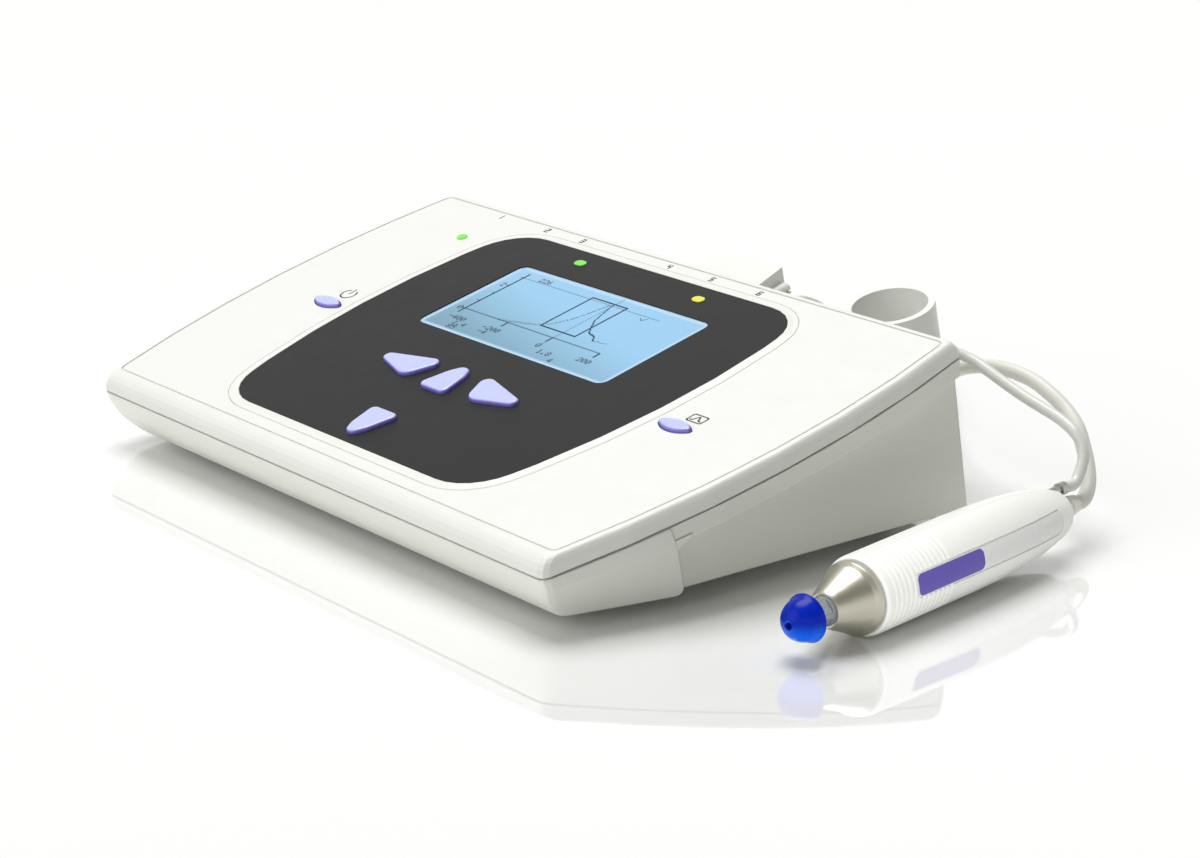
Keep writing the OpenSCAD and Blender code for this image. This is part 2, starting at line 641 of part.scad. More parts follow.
module air_fitting() color("silver") slope() at_socket(air_x) difference() {
    union() {
        translate([0, 0, -case_wall - 3]) cylinder(d = 11, h = 3, $fn = 6);
        translate([0, 0, -case_wall - 6]) cylinder(d = 8, h = case_wall + 6);
        cylinder(d = 11, h = 1.6);
        translate([0, 0, 1.5]) cylinder(d = 6.4, h = 5);
        translate([0, 0, -18]) cylinder(d = 3, h = 11);
    }
    translate([0, 0, -19]) cylinder(d = 1.6, h = 30);
    translate([0, 0, 1.6]) cylinder(d = 4.2 + 2 * fit, h = 6);
}

// Piston pump on the case floor: motor, lead screw, sliding piston in its cylinder
pump_at = [-86, 104];
pump_z = rear_foot_h + case_wall;
axis_z = pump_z + 2 + pump_bore / 2 + 4;
module on_pump() placed() translate([pump_at.x, pump_at.y, axis_z]) rotate([0, 90, 0]) children();
motor_l = 18;
cyl_x = motor_l + 6 + pump_stroke + 10;
cyl_l = pump_stroke + 14;
rod_d = 8;
module pump_bracket() color("silver") placed() translate([pump_at.x, pump_at.y, 0]) difference() {
    union() {
        translate([-2, -12, pump_z]) cube([cyl_x + cyl_l + 6, 24, 2]);
        translate([motor_l, -12, pump_z]) cube([2, 24, axis_z - pump_z + 11]);
        for (x = [cyl_x + 2, cyl_x + cyl_l - 6])
            translate([x, -9, pump_z]) cube([4, 18, axis_z - pump_z - 4]);
    }
    translate([motor_l - 1, 0, axis_z]) rotate([0, 90, 0]) cylinder(d = 6 + 2 * fit, h = 4);
    translate([cyl_x - 1, 0, axis_z]) rotate([0, 90, 0])
        cylinder(d = pump_bore + 4 + 2 * seat, h = cyl_l + 4);
}
module pump_motor() color("gray") on_pump() {
    difference() {
        union() {
            translate([-11, -11, 0.02]) cube([22, 22, motor_l - 0.02]);
            cylinder(d = 6, h = motor_l + 2.5);
        }
        translate([0, 0, motor_l - 8]) cylinder(d = 4 + 2 * fit, h = 20);
    }
}
module pump_screw() color("lightsteelblue") on_pump() {
    translate([0, 0, motor_l - 7.5]) cylinder(d = 4, h = 7.5 + 4);
    translate([0, 0, motor_l + 2.8]) cylinder(d = 7, h = 1.4);
    translate([0, 0, motor_l + 4]) cylinder(d = 4, h = pump_stroke + 14);
}
module pump_piston() color("ivory") on_pump() {
    z0 = motor_l + 5;
    z1 = cyl_x + 5;
    difference() {
        union() {
            translate([0, 0, z0]) cylinder(d = rod_d, h = z1 - z0);
            translate([-5, -9, z0]) cube([axis_z - pump_z - 2 + 5 - 0.15, 18, 4]);
            rotate_extrude() polygon([[rod_d / 2 - 1, z1 - 3], [pump_bore / 2 - fit, z1 - 3],
                [pump_bore / 2 - fit, z1 - 2], [pump_bore / 2 - 1.2, z1 - 1.6],
                [pump_bore / 2 - 1.2, z1 + 0.2], [pump_bore / 2 - fit, z1 + 0.6],
                [pump_bore / 2 - fit, z1 + 1.6], [0, z1 + 1.6], [0, z1 - 1],
                [rod_d / 2 - 1, z1 - 1]]);
        }
        translate([0, 0, z0 - 1]) cylinder(d = 4 + 2 * fit, h = z1 - z0);
    }
}
module pump_cylinder() color("gainsboro") on_pump() difference() {
    union() {
        translate([0, 0, cyl_x]) cylinder(d = pump_bore + 4, h = cyl_l);
        translate([0, 0, cyl_x + cyl_l - 1]) cylinder(d = 3, h = 9);
    }
    translate([0, 0, cyl_x - 1]) cylinder(d = pump_bore, h = cyl_l - 1);
    translate([0, 0, cyl_x]) cylinder(d = 1.6, h = cyl_l + 20);
}
manifold_at = [26, 96];
manifold_z = pump_z;
module air_manifold() color("gainsboro") placed() translate([manifold_at.x, manifold_at.y, 0]) {
    difference() {
        translate([0, 0, manifold_z]) cube([26, 18, axis_z - manifold_z + 5]);
        translate([-1, pump_at.y - manifold_at.y, axis_z]) rotate([0, 90, 0]) cylinder(d = 1.6, h = 14);
        translate([13, 8, axis_z]) rotate([-90, 0, 0]) cylinder(d = 1.6, h = 14);
    }
    translate([-8, pump_at.y - manifold_at.y, axis_z]) rotate([0, 90, 0]) difference() {
        cylinder(d = 3, h = 8.5);
        translate([0, 0, -1]) cylinder(d = 1.6, h = 12);
    }
    translate([13, 17.5, axis_z]) rotate([-90, 0, 0]) difference() {
        cylinder(d = 3, h = 7);
        translate([0, 0, -1]) cylinder(d = 1.6, h = 12);
    }
}
// Solenoid valve and pressure sensor on the manifold
module relief_valve() color("steelblue") placed()
    translate([manifold_at.x, manifold_at.y, axis_z + 5]) {
        translate([7, 9, 0]) cylinder(d = 10, h = 8);
        translate([14, 4.5, 0]) cube([10, 9, 5]);
    }
hose_d = 5;
module pump_hose() color("white") placed() {
    x0 = pump_at.x + cyl_x + cyl_l + 1.5;
    x1 = manifold_at.x - 1.5;
    translate([x0, pump_at.y, axis_z]) rotate([0, 90, 0]) difference() {
        cylinder(d = hose_d, h = x1 - x0);
        translate([0, 0, -1]) cylinder(d = 3 + 2 * seat, h = x1 - x0 + 2);
    }
}
// The hose from the manifold up to the air fitting, along hand-chosen points
outlet_start = [manifold_at.x + 13, manifold_at.y + 18.5, axis_z];
outlet_mid = [[39, 121.2, 23.5], [38, 126, 24.6], [35.5, 130.5, 27.5], [33, 134, 31], [29, 137, 34.8],
    [26, 139.5, 37.6]];
module outlet_hose() color("white") difference() {
    placed() swept(concat([outlet_start], outlet_mid,
        [on_slope_point([air_x, rear_wall_v - 19.5, -socket_drop]),
        on_slope_point([air_x, rear_wall_v - 12.5, -socket_drop])]), hose_d);
    placed() translate(outlet_start - [0, 1, 0]) rotate([-90, 0, 0]) cylinder(d = 3 + 2 * seat, h = 7.2);
    slope() at_socket(air_x) translate([0, 0, -18.2]) cylinder(d = 3 + 2 * seat, h = 8);
}

// Holder behind the case that takes the probe
module probe_holder() color("whitesmoke") slope() {
    r = holder_d / 2;
    difference() {
        union() {
            translate([holder_at.x, holder_at.y, -holder_depth])
                cylinder(r = r + holder_wall, h = holder_depth);
            translate([holder_at.x - 8, rear_wall_v + 1, -holder_depth + 2])
                cube([16, holder_at.y - rear_wall_v - r + 1, holder_depth - band_h - 2.5]);
            translate([holder_at.x - 17, rear_wall_v + seat, -holder_depth + 2])
                cube([34, 2 - seat, holder_depth - band_h - 2.5]);
        }
        translate([holder_at.x, holder_at.y, -holder_depth + 3]) cylinder(r = r, h = holder_depth);
        translate([holder_at.x, holder_at.y, -holder_depth - 1]) cylinder(r = r - 3, h = holder_depth);
        for (x = holder_screws)
            translate([x, rear_wall_v - 1, holder_screw_n]) rotate([-90, 0, 0]) cylinder(d = 3.2, h = 6);
    }
}

// Plug of the probe lead in its socket: hood, contact shell, two jackscrews, bent boot
module plug_hood() color("whitesmoke") slope() difference() {
    union() {
        translate([0, 0, hood_top_n - 14]) linear_extrude(14) polygon([
            [-hood_half, hood_v], [hood_half, hood_v], [hood_half, hood_v + 18], [hood_half - 2.3, hood_v + 18], [14, hood_end_v], [-14, hood_end_v],
            [2.3 - hood_half, hood_v + 18], [-hood_half, hood_v + 18]]);
        translate([0, hood_v - 8, -socket_drop]) rotate([-90, 0, 0]) linear_extrude(8.5) d_shape(24.4, 7.9);
    }
    for (x = [-jack_x, jack_x]) {
        translate([x, hood_v - 9, -socket_drop]) rotate([-90, 0, 0]) cylinder(d = 3 + 2 * fit, h = 20);
        translate([x, hood_v + 6, -socket_drop]) rotate([-90, 0, 0]) cylinder(d = 5 + 2 * fit, h = 40);
    }
    translate([0, hood_end_v - 5, -socket_drop + 1]) rotate([-90 - boot_angle, 0, 0])
        cylinder(d = 7 + 2 * seat, h = 20);
}
module jackscrew(x) slope() translate([x, hood_v + 6.2, -socket_drop]) rotate([-90, 0, 0]) {
    translate([0, 0, -17]) cylinder(d = 3, h = 18);
    difference() {
        cylinder(d = 5, h = 25);
        translate([0, 0, 24]) cube([6, 0.8, 3], center = true);
    }
}
module left_jackscrew() color("gainsboro") jackscrew(-jack_x);
module right_jackscrew() color("gainsboro") jackscrew(jack_x);
module boot_frame() slope() translate([0, hood_end_v - 5, -socket_drop + 1])
    rotate([-90 - boot_angle, 0, 0]) children();
module plug_boot() color("gainsboro") boot_frame() rotate_extrude()
    polygon([[0, 1], [3.5, 1], [3.5, 10.3], [4.4, 10.4], [4.3, 11.4], [3.6, 11.7], [3.6, 12.4],
        [4.1, 12.7], [4, 13.6], [3.4, 13.9], [3.2, boot_len + 6], [0, boot_len + 6]]);
function boot_end(s) = on_slope_point(
    [0, hood_end_v - 5 + s * cos(boot_angle), -socket_drop + 1 - s * sin(boot_angle)]);

// Probe: frame with z running from the cone's rear ring towards the tail
module on_probe() placed() translate(probe_at)
    rotate([0, 0, probe_heading]) rotate([probe_lift - 90, 0, 0]) children();
function probe_point(side, up, s) = let(
    y = s * cos(probe_lift) - up * sin(probe_lift),
    z = s * sin(probe_lift) + up * cos(probe_lift))
    probe_at + [side * cos(probe_heading) - y * sin(probe_heading),
        side * sin(probe_heading) + y * cos(probe_heading), z];
handle_r = handle_d / 2;
groove_n = 13;
groove_pitch = 2.2;
groove_first = 4;
groove_depth = 0.45;
tail_r = 4.8;
inner_r = handle_r - 0.5 - shell_wall;
// Where the handle starts to narrow towards its tail, and how it narrows, e below the surface
function tail_curve(e) = [[handle_r - e, handle_len - 58], [handle_r - 0.15 - e, handle_len - 44],
    [handle_r - 0.7 - e, handle_len - 32], [handle_r - 1.6 - e, handle_len - 22],
    [handle_r - 2.9 - e, handle_len - 14]];
// Outer profile of the handle from the ring to the tail, as radius and place
function handle_profile() = concat([[handle_r - 0.9, ring_w], [handle_r - 0.15, ring_w + 2]],
    [for (i = [0:groove_n - 1]) let(s = groove_first + i * groove_pitch) each
        [[handle_r, s - 0.7], [handle_r - groove_depth, s - 0.2], [handle_r - groove_depth, s + 0.2],
            [handle_r, s + 0.7]]],
    tail_curve(0), [[handle_r - 4.4, handle_len - 8], [handle_r - 6, handle_len - 4],
        [handle_r - 6.9, handle_len - 1.4], [tail_r, handle_len]]);
module handle_half() difference() {
    rotate_extrude(angle = 180) difference() {
        polygon(concat([[0, ring_w]], handle_profile(), [[0, handle_len]]));
        translate([-0.01, ring_w - 1]) square([spigot_r + 0.01, 5]);
        polygon([[-0.01, ring_w + 3], [inner_r, ring_w + 3], [inner_r, handle_len - 46],
            [inner_r - 0.4, handle_len - 32], [inner_r - 2.1, handle_len - 18],
            [inner_r - 4.5, handle_len - 9], [inner_r - 6.5, handle_len - 5], [-0.01, handle_len - 5]]);
        translate([-0.01, handle_len - 6]) square([3 + seat, 8]);
    }
}
module handle_left_shell() color("white") on_probe() difference() {
    rotate([0, 0, 90]) handle_half();
    barb_hole();
}
label_turn = 12;
label_s0 = 14;
label_s1 = handle_len - 13.5;
label_w = 8.4;
module label_block(e, r0) rotate([0, 0, -label_turn]) rotate([90, 0, 90]) translate([0, 0, r0])
    linear_extrude(20) polygon(rounded([[-label_w / 2 - e, label_s0 - e], [label_w / 2 + e, label_s0 - e],
        [label_w / 2 + e, label_s1 + e], [-label_w / 2 - e, label_s1 + e]],
        [2.4 + e, 2.4 + e, 4 + e, 4 + e], 5));
module handle_right_shell() color("white") on_probe() difference() {
    rotate([0, 0, -90]) handle_half();
    barb_hole();
    label_recess();
}
// The recess follows the handle's own profile, 0.5 mm deep
module label_recess() intersection() {
    label_block(0, 2);
    label_skin(0.5, 2);
}
module label_skin(deep, proud) rotate([0, 0, -90]) rotate_extrude(angle = 180) polygon(concat(
    [[handle_r - deep, ring_w + 8]], tail_curve(deep), [[handle_r - 3.6 - deep, handle_len - 11]],
    [[handle_r - 3.6 + proud, handle_len - 11], [handle_r + proud, handle_len - 22],
        [handle_r + proud, ring_w + 8]]));
module handle_label() color("slateblue") on_probe() intersection() {
    label_block(-0.1, 2);
    difference() {
        label_skin(0.5 - seat, 0);
        label_skin(0.15, 3);
    }
}
barb_up = 7;
barb_s0 = handle_len - 11;
module barb_hole() translate([0, -barb_up, 0]) {
    translate([0, 0, barb_s0 - 8]) cylinder(d = 3 + 2 * seat, h = 40);
    translate([0, 0, barb_s0 + 6 - seat]) cylinder(d = 4.2 + 2 * seat, h = 40);
}
module air_barb() color("dimgray") on_probe() translate([0, -barb_up, 0]) difference() {
    union() {
        translate([0, 0, barb_s0 - 4]) cylinder(d = 3, h = 11);
        translate([0, 0, barb_s0 + 6]) cylinder(d = 4.2, h = 3);
        translate([0, 0, barb_s0 + 8]) cylinder(d = tube_bore - 2 * seat, h = 6.5);
    }
    translate([0, 0, barb_s0 - 5]) cylinder(d = 1.1, h = 60);
}
module handle_boot() color("gainsboro") on_probe() rotate_extrude()
    polygon([[0, handle_len - 7], [4.2, handle_len - 7], [4.2, handle_len - 6.2], [3, handle_len - 6.2],
        [3, handle_len + seat], [3.6, handle_len + seat], [3.4, handle_len + 1.2], [3, handle_len + 4],
        [0, handle_len + 4]]);
// Dark gasket between the cone and the handle
module cone_gasket() color("black") on_probe() difference() {
    translate([0, 0, seat]) cylinder(r = handle_r - 1.8, h = ring_w - 2 * seat);
    translate([0, 0, -1]) cylinder(r = spigot_r + 0.1, h = 4);
}
cone_tip_r = 5.6;
cone_rim_r = 11.3;
spigot_r = handle_r - 3.5;
module nose_cone() color("silver") on_probe() rotate_extrude()
    polygon([[tip_d / 2 + 2 * fit, -cone_len], [cone_tip_r - 0.3, -cone_len],
        [cone_tip_r, -cone_len + 0.4], [cone_tip_r + 1.3, -cone_len + 3],
        [cone_rim_r - 1, -3], [cone_rim_r, -1.8], [cone_rim_r, 0], [spigot_r - fit, 0], [spigot_r - fit, 2.6],
        [spigot_r - 1.4, 2.6], [spigot_r - 1.4, -2.5], [cone_tip_r, -cone_len + 4.4],
        [tip_d / 2 + 2 * fit, -cone_len + 1.6]]);
// Clear tip with four flats, its flange held under the cone
module probe_tip() color("lightcyan") on_probe() difference() {
    union() {
        translate([0, 0, -cone_len - 5.5]) cylinder(d = tip_d, h = 8);
        translate([0, 0, -cone_len + 2]) cylinder(r1 = 4.5, r2 = 5.2, h = 2);
        translate([0, 0, -cone_len + 4]) cylinder(r = 5.2, h = 4.3);
        translate([0, 0, -cone_len - 12]) cylinder(d = 5, h = 7);
    }
    translate([0, 0, -cone_len - 13]) cylinder(d = 1.5, h = 30);
    for (a = [0:120:359])
        rotate([0, 0, a]) translate([1.5, 0, -cone_len - 13]) cylinder(d = 0.9, h = 30);
    for (a = [45:90:359])
        rotate([0, 0, a]) translate([tip_d / 2 - 0.8, -3, -cone_len - 4.6]) cube([2, 6, 3.6]);
}
ear_s = -cone_len - 5.8;
module ear_tip() color("blue") on_probe() rotate_extrude()
    polygon(concat([[2.5 + fit, ear_s], [3.4, ear_s], [3.7, ear_s - 2.4]],
        [for (a = [-30:15:75]) [2 + (ear_tip_d / 2 - 2) * cos(a), ear_s - 3.7 - 5.6 * sin(a)]],
        [[2.5 + fit, ear_s - 9.25]]));
// Coupler, receivers and circuit board inside the handle
module probe_coupler() color("gray") on_probe() difference() {
    union() {
        translate([0, 0, -cone_len + 8.4]) cylinder(r = 5.2, h = 9);
        translate([0, 0, 2.9]) cylinder(r = spigot_r - seat, h = 1.5);
        translate([0, 0, 2.9]) cylinder(r = 8.4, h = 9);
    }
    translate([0, -5.5, 8]) cylinder(d = 1.6, h = 10);
}
module probe_board() color("green") on_probe() {
    w = inner_r - 0.1;
    translate([-w, -0.8, 11.92]) cube([2 * w, 1.6, handle_len - 60]);
    for (x = [-5.5, 1.5])
        translate([x, 0.8, 14]) cube([4, 3.4, 8]);
    translate([-3.5, -4.6, 24]) cube([7, 3.8, 14]);
}

// Air connector on the fitting: a luer collar with the tube's barb
module air_connector() color("gainsboro") slope() at_socket(air_x) difference() {
    union() {
        translate([0, 0, 1.8]) cylinder(d = 4.2, h = 6);
        translate([0, 0, 7]) cylinder(d = 8.8, h = 8);
        translate([0, 0, 14]) cylinder(d = 5, h = 3);
        translate([0, 0, 16]) cylinder(d = tube_bore - 2 * seat, h = 6);
    }
    translate([0, 0, 0]) cylinder(d = 1, h = 30);
    for (a = [0:45:359])
        rotate([0, 0, a]) translate([4.9, 0, 6]) cylinder(d = 1.6, h = 12);
}

// Routes of the lead: middle points chosen by hand, ends taken from the pieces that they meet
cable_mid = [[158.6, 193, 17], [154.7, 197, 21.5], [150, 200, 26.5], [145, 202.5, 31.3], [138, 205, 35],
    [130, 206, 38.5], [121, 207, 41], [111, 207, 42], [100, 207, 41], [89, 208, 37.5], [78, 212, 31],
    [69, 221, 23], [61, 234, 15], [51, 250, 8.5], [39, 265, 5], [24, 278, 3.8], [4, 284, 3.6],
    [-18, 284, 3.6], [-42, 283, 3.6]];
cable_plug_mid = [[0, 206.2, 37.2], [-0.5, 210.5, 32.7], [-3, 215, 27.6], [-8, 219, 22.5], [-16, 221.5, 17.8],
    [-26, 221, 13.9], [-37, 217, 11], [-46.5, 212.8, 9.6], [-53.5, 211, 9.2]];
air_mid = [[160.5, 186.5, 24.6], [159.3, 189, 28], [157, 190.5, 31.5], [153, 191, 34.5], [147, 192, 36.5],
    [139, 193, 38], [130, 194, 39.5], [118.5, 196, 41.6], [109, 198.2, 43.2], [99, 199.6, 45],
    [87.5, 200.8, 44.8], [77, 204, 40], [68, 209, 31.5], [59, 214, 21], [49, 216.5, 11], [37, 216, 5], [25, 215, 3]];
air_plug_mid = [[25.8, 192, 50.2], [26.3, 199, 48], [28, 206, 43], [31, 214, 34.5], [34, 220.5, 25],
    [36.4, 226, 15.8], [37.7, 231, 9.8], [38, 235.8, 7.35]];
cable_coil_at = [-66, 247];
cable_coil_r = 36;
cable_turns = 6.5;
air_coil_at = [8, 245];
air_coil_r = 30;
air_turns = 8.75;
cable_pitch = cable_d + 0.6;
air_pitch = tube_d + 0.55;
coil_base = 1.1;
// Spiral in on the lower layer, climb in half a turn, spiral out on the upper layer, with straight ends
function coil_points(at, r, z, turns, a0, pitch, way, lead) = let(
    n = turns * 24,
    k = (turns - 0.5) / 2,
    a1 = a0 + way * 360 * turns,
    loops = [for (i = [0:n]) let(
        t = i / 24,
        c = t <= k ? 0 : t >= k + 0.5 ? 1 : (t - k) * 2,
        q = r - pitch * ((t <= k ? t : t >= k + 0.5 ? turns - t : k) + 0.25 * sin(180 * c)),
        a = a0 + way * 360 * t)
        [at.x + q * cos(a), at.y + q * sin(a), z + pitch * c]])
    concat([loops[0] + way * lead * [sin(a0), -cos(a0), 0]], loops,
        [loops[n] + way * lead * [-sin(a1), cos(a1), 0]]);
cable_loops = coil_points(cable_coil_at, cable_coil_r, coil_base + cable_d / 2, cable_turns, 90,
    cable_pitch, 1, 6);
air_loops = coil_points(air_coil_at, air_coil_r, coil_base + tube_d / 2, air_turns, -90, air_pitch, -1, 5);
cable_route = concat([probe_point(0, 0, handle_len + 4 + seat), probe_point(0, 0, handle_len + 9)], cable_mid,
    [cable_loops[0]]);
cable_plug_route = concat([boot_end(boot_len + 6 + seat)], cable_plug_mid,
    [cable_loops[len(cable_loops) - 1]]);
air_route = concat([probe_point(0, barb_up, barb_s0 + 9 + seat), probe_point(0, barb_up, barb_s0 + 15)],
    air_mid, [air_loops[0]]);
air_plug_route = concat([on_slope_point([air_x, rear_wall_v + 17 + seat, -socket_drop]),
    on_slope_point([air_x, rear_wall_v + 23.5, -socket_drop])], air_plug_mid,
    [air_loops[len(air_loops) - 1]]);
module probe_cable() color("gainsboro") placed() {
    swept(cable_route, cable_d, 10);
    swept(cable_plug_route, cable_d, 10);
}
module cable_coil() color("gainsboro") placed() swept(cable_loops, cable_d, 6);
module air_tube() color("whitesmoke") {
    difference() {
        placed() swept(air_route, tube_d, 8);
        on_probe() translate([0, -barb_up, barb_s0 + 8]) cylinder(d = tube_bore, h = 6.8);
    }
    difference() {
        placed() swept(air_plug_route, tube_d, 8);
        slope() at_socket(air_x) translate([0, 0, 16]) cylinder(d = tube_bore, h = 6.5);
    }
}
module air_coil() color("whitesmoke") placed() swept(air_loops, tube_d, 6);
module coil_tie(at, r, turns, pitch, d, turn) {
    r0 = r - pitch * ((turns - 0.5) / 2 + 0.25) - d / 2 - 1.1;
    r1 = r + d / 2 + 1.1;
    top = coil_base + pitch + d + 0.2;
    translate([at.x, at.y, 0]) rotate([0, 0, turn]) difference() {
        translate([r0, -2.5, 0.1]) cube([r1 - r0, 5, top + 0.7]);
        translate([r0 + 0.8, -3, 0.9]) cube([r1 - r0 - 1.6, 6, top - 0.9]);
    }
}
module coil_ties() color("black") placed() {
    coil_tie(cable_coil_at, cable_coil_r, cable_turns, cable_pitch, cable_d, 200);
    coil_tie(air_coil_at, air_coil_r, air_turns, air_pitch, tube_d, 110);
}
// Least gap of a coil to itself, between points more than half a turn apart along it
function least_gap(p, d) = min([for (i = [0:2:len(p) - 14], j = [i + 13:len(p) - 1]) norm(p[i] - p[j])]) - d;
echo(cable_coil_gap = least_gap(cable_loops, cable_d), air_coil_gap = least_gap(air_loops, tube_d));
echo(cable_lengths = [route_length(cable_route), route_length(cable_loops), route_length(cable_plug_route)]);
echo(air_lengths = [route_length(air_route), route_length(air_loops), route_length(air_plug_route)]);
echo(cable_ends = [cable_route[0], cable_loops[0], cable_loops[len(cable_loops) - 1], cable_plug_route[0]]);
echo(air_ends = [air_route[0], air_loops[0], air_loops[len(air_loops) - 1], air_plug_route[0]]);

lower_case();
top_cover();
top_film();
panel_film();
screen_window();
screen_module();
screen_ribbon();
main_board();
key_switches();
left_key();
right_key();
up_key();
down_key();
power_key();
display_key();
left_indicator();
right_indicator();
power_indicator();
case_screws();
board_screws();
rubber_feet();
rating_label();
socket_board();
power_socket();
usb_socket();
printer_socket();
probe_socket();
contra_socket();
air_fitting();
pump_bracket();
pump_motor();
pump_screw();
pump_piston();
pump_cylinder();
pump_hose();
air_manifold();
relief_valve();
outlet_hose();
probe_holder();
plug_hood();
left_jackscrew();
right_jackscrew();
plug_boot();
probe_cable();
cable_coil();
air_connector();
air_tube();
air_coil();
coil_ties();
handle_left_shell();
handle_right_shell();
nose_cone();
cone_gasket();
probe_tip();
ear_tip();
probe_coupler();
probe_board();
air_barb();
handle_boot();
handle_label();
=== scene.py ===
import math

import bpy
from mathutils import Matrix, Vector


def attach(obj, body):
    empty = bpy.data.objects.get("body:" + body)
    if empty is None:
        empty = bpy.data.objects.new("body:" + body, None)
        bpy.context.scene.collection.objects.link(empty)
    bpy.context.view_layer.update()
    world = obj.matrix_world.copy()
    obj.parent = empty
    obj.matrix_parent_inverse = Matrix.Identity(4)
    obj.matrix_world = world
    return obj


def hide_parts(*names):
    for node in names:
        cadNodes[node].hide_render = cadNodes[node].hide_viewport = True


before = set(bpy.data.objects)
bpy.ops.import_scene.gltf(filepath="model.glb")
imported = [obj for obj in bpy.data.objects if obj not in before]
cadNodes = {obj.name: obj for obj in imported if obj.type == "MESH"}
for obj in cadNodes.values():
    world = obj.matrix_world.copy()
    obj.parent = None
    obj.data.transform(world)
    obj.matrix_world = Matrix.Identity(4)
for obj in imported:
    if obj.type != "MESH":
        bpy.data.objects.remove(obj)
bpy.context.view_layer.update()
rootBody = "console_and_probe"

# Places of the part, in millimetres, as its source has them
layout = {
    "originX": 25.2,
    "originY": 101.0,
    "seamHeight": 19.0,
    "topTilt": 14.0,
    "coverHeight": 5.8,
    "panelHeight": 6.15,
    "windowHeight": 5.7,
    "rearWall": 163.3,
    "socketDrop": 15.0,
    "airX": 25.6,
    "probeAt": (173.3, 73.2, 12.46),
    "probeHeading": 6.0,
    "probeLift": 1.0,
    "handleLength": 106.0,
}
tiltSin = math.sin(math.radians(layout["topTilt"]))
tiltCos = math.cos(math.radians(layout["topTilt"]))


def fromCase(x, y, z):
    return Vector(((x - layout["originX"]) / 1000, (y - layout["originY"]) / 1000, z / 1000))


def fromSlope(x, v, n):
    return fromCase(x, v * tiltCos - n * tiltSin, layout["seamHeight"] + v * tiltSin + n * tiltCos)


def fromProbe(side, up, s):
    lift = math.radians(layout["probeLift"])
    heading = math.radians(layout["probeHeading"])
    y = s * math.cos(lift) - up * math.sin(lift)
    z = s * math.sin(lift) + up * math.cos(lift)
    px, py, pz = layout["probeAt"]
    return fromCase(
        px + side * math.cos(heading) - y * math.sin(heading),
        py + side * math.sin(heading) + y * math.cos(heading),
        pz + z,
    )


# Camera, matched to the photograph's viewing angle
cameraSetup = {
    "focalPixels": 2892.5,
    "imageWidth": 1200,
    "sensor": 36.0,
    "clip": (0.01, 50),
    "yaw": 49.398,
    "pitch": 17.689,
    "roll": 0.683,
    "place": (720.27, -493.60, 312.92),
}


def makeCamera(c):
    yaw, pitch, roll = (math.radians(c[k]) for k in ("yaw", "pitch", "roll"))
    ahead = Vector((-math.sin(yaw) * math.cos(pitch), math.cos(yaw) * math.cos(pitch), -math.sin(pitch)))
    right = Vector((math.cos(yaw), math.sin(yaw), 0))
    up = right.cross(ahead)
    tiltedRight = right * math.cos(roll) + up * math.sin(roll)
    tiltedUp = up * math.cos(roll) - right * math.sin(roll)
    data = bpy.data.cameras.new("photoCamera")
    data.sensor_width = c["sensor"]
    data.sensor_fit = "HORIZONTAL"
    data.lens = c["focalPixels"] * c["sensor"] / c["imageWidth"]
    data.clip_start, data.clip_end = c["clip"]
    camera = bpy.data.objects.new("photoCamera", data)
    turn = Matrix((tiltedRight, tiltedUp, -ahead)).transposed().to_4x4()
    camera.matrix_world = Matrix.Translation(fromCase(*c["place"])) @ turn
    bpy.context.scene.collection.objects.link(camera)
    bpy.context.scene.camera = camera


makeCamera(cameraSetup)
print("camera made")


# Shader groups that the finishes share
def newGroup(name, inputs, outputs):
    group = bpy.data.node_groups.new(name, "ShaderNodeTree")
    for label, value in inputs:
        socket = group.interface.new_socket(label, in_out="INPUT", socket_type="NodeSocketFloat")
        socket.default_value = value
    for label, kind in outputs:
        group.interface.new_socket(label, in_out="OUTPUT", socket_type=kind)
    return group, group.nodes.new("NodeGroupInput"), group.nodes.new("NodeGroupOutput")


def mathNode(tree, operation, a, b=None):
    node = tree.nodes.new("ShaderNodeMath")
    node.operation = operation
    for socket, value in zip(node.inputs, (a, b)):
        if value is None:
            continue
        if isinstance(value, (int, float)):
            socket.default_value = value
        else:
            tree.links.new(value, socket)
    return node.outputs[0]


def noiseNode(tree, vector, scale, detail=3.0, roughness=0.55):
    node = tree.nodes.new("ShaderNodeTexNoise")
    node.inputs["Detail"].default_value = detail
    node.inputs["Roughness"].default_value = roughness
    tree.links.new(vector, node.inputs["Vector"])
    if isinstance(scale, (int, float)):
        node.inputs["Scale"].default_value = scale
    else:
        tree.links.new(scale, node.inputs["Scale"])
    return node.outputs["Fac"]


def rangeNode(tree, value, start, end, low=0.0, high=1.0, smooth=True):
    node = tree.nodes.new("ShaderNodeMapRange")
    if smooth:
        node.interpolation_type = "SMOOTHSTEP"
    for label, number in (("From Min", start), ("From Max", end), ("To Min", low), ("To Max", high)):
        node.inputs[label].default_value = number
    tree.links.new(value, node.inputs["Value"])
    return node.outputs["Result"]


def objectCoords(tree, output="Object"):
    return tree.nodes.new("ShaderNodeTexCoord").outputs[output]


# Moulded plastic: fine grain, broad patches of tone, and smudges in the polish
grainLook = {"fineDetail": 2.0, "patchDetail": 4.0, "smudgeTimes": 9.0, "smudgeDetail": 5.0,
             "smudgeRough": 0.65}


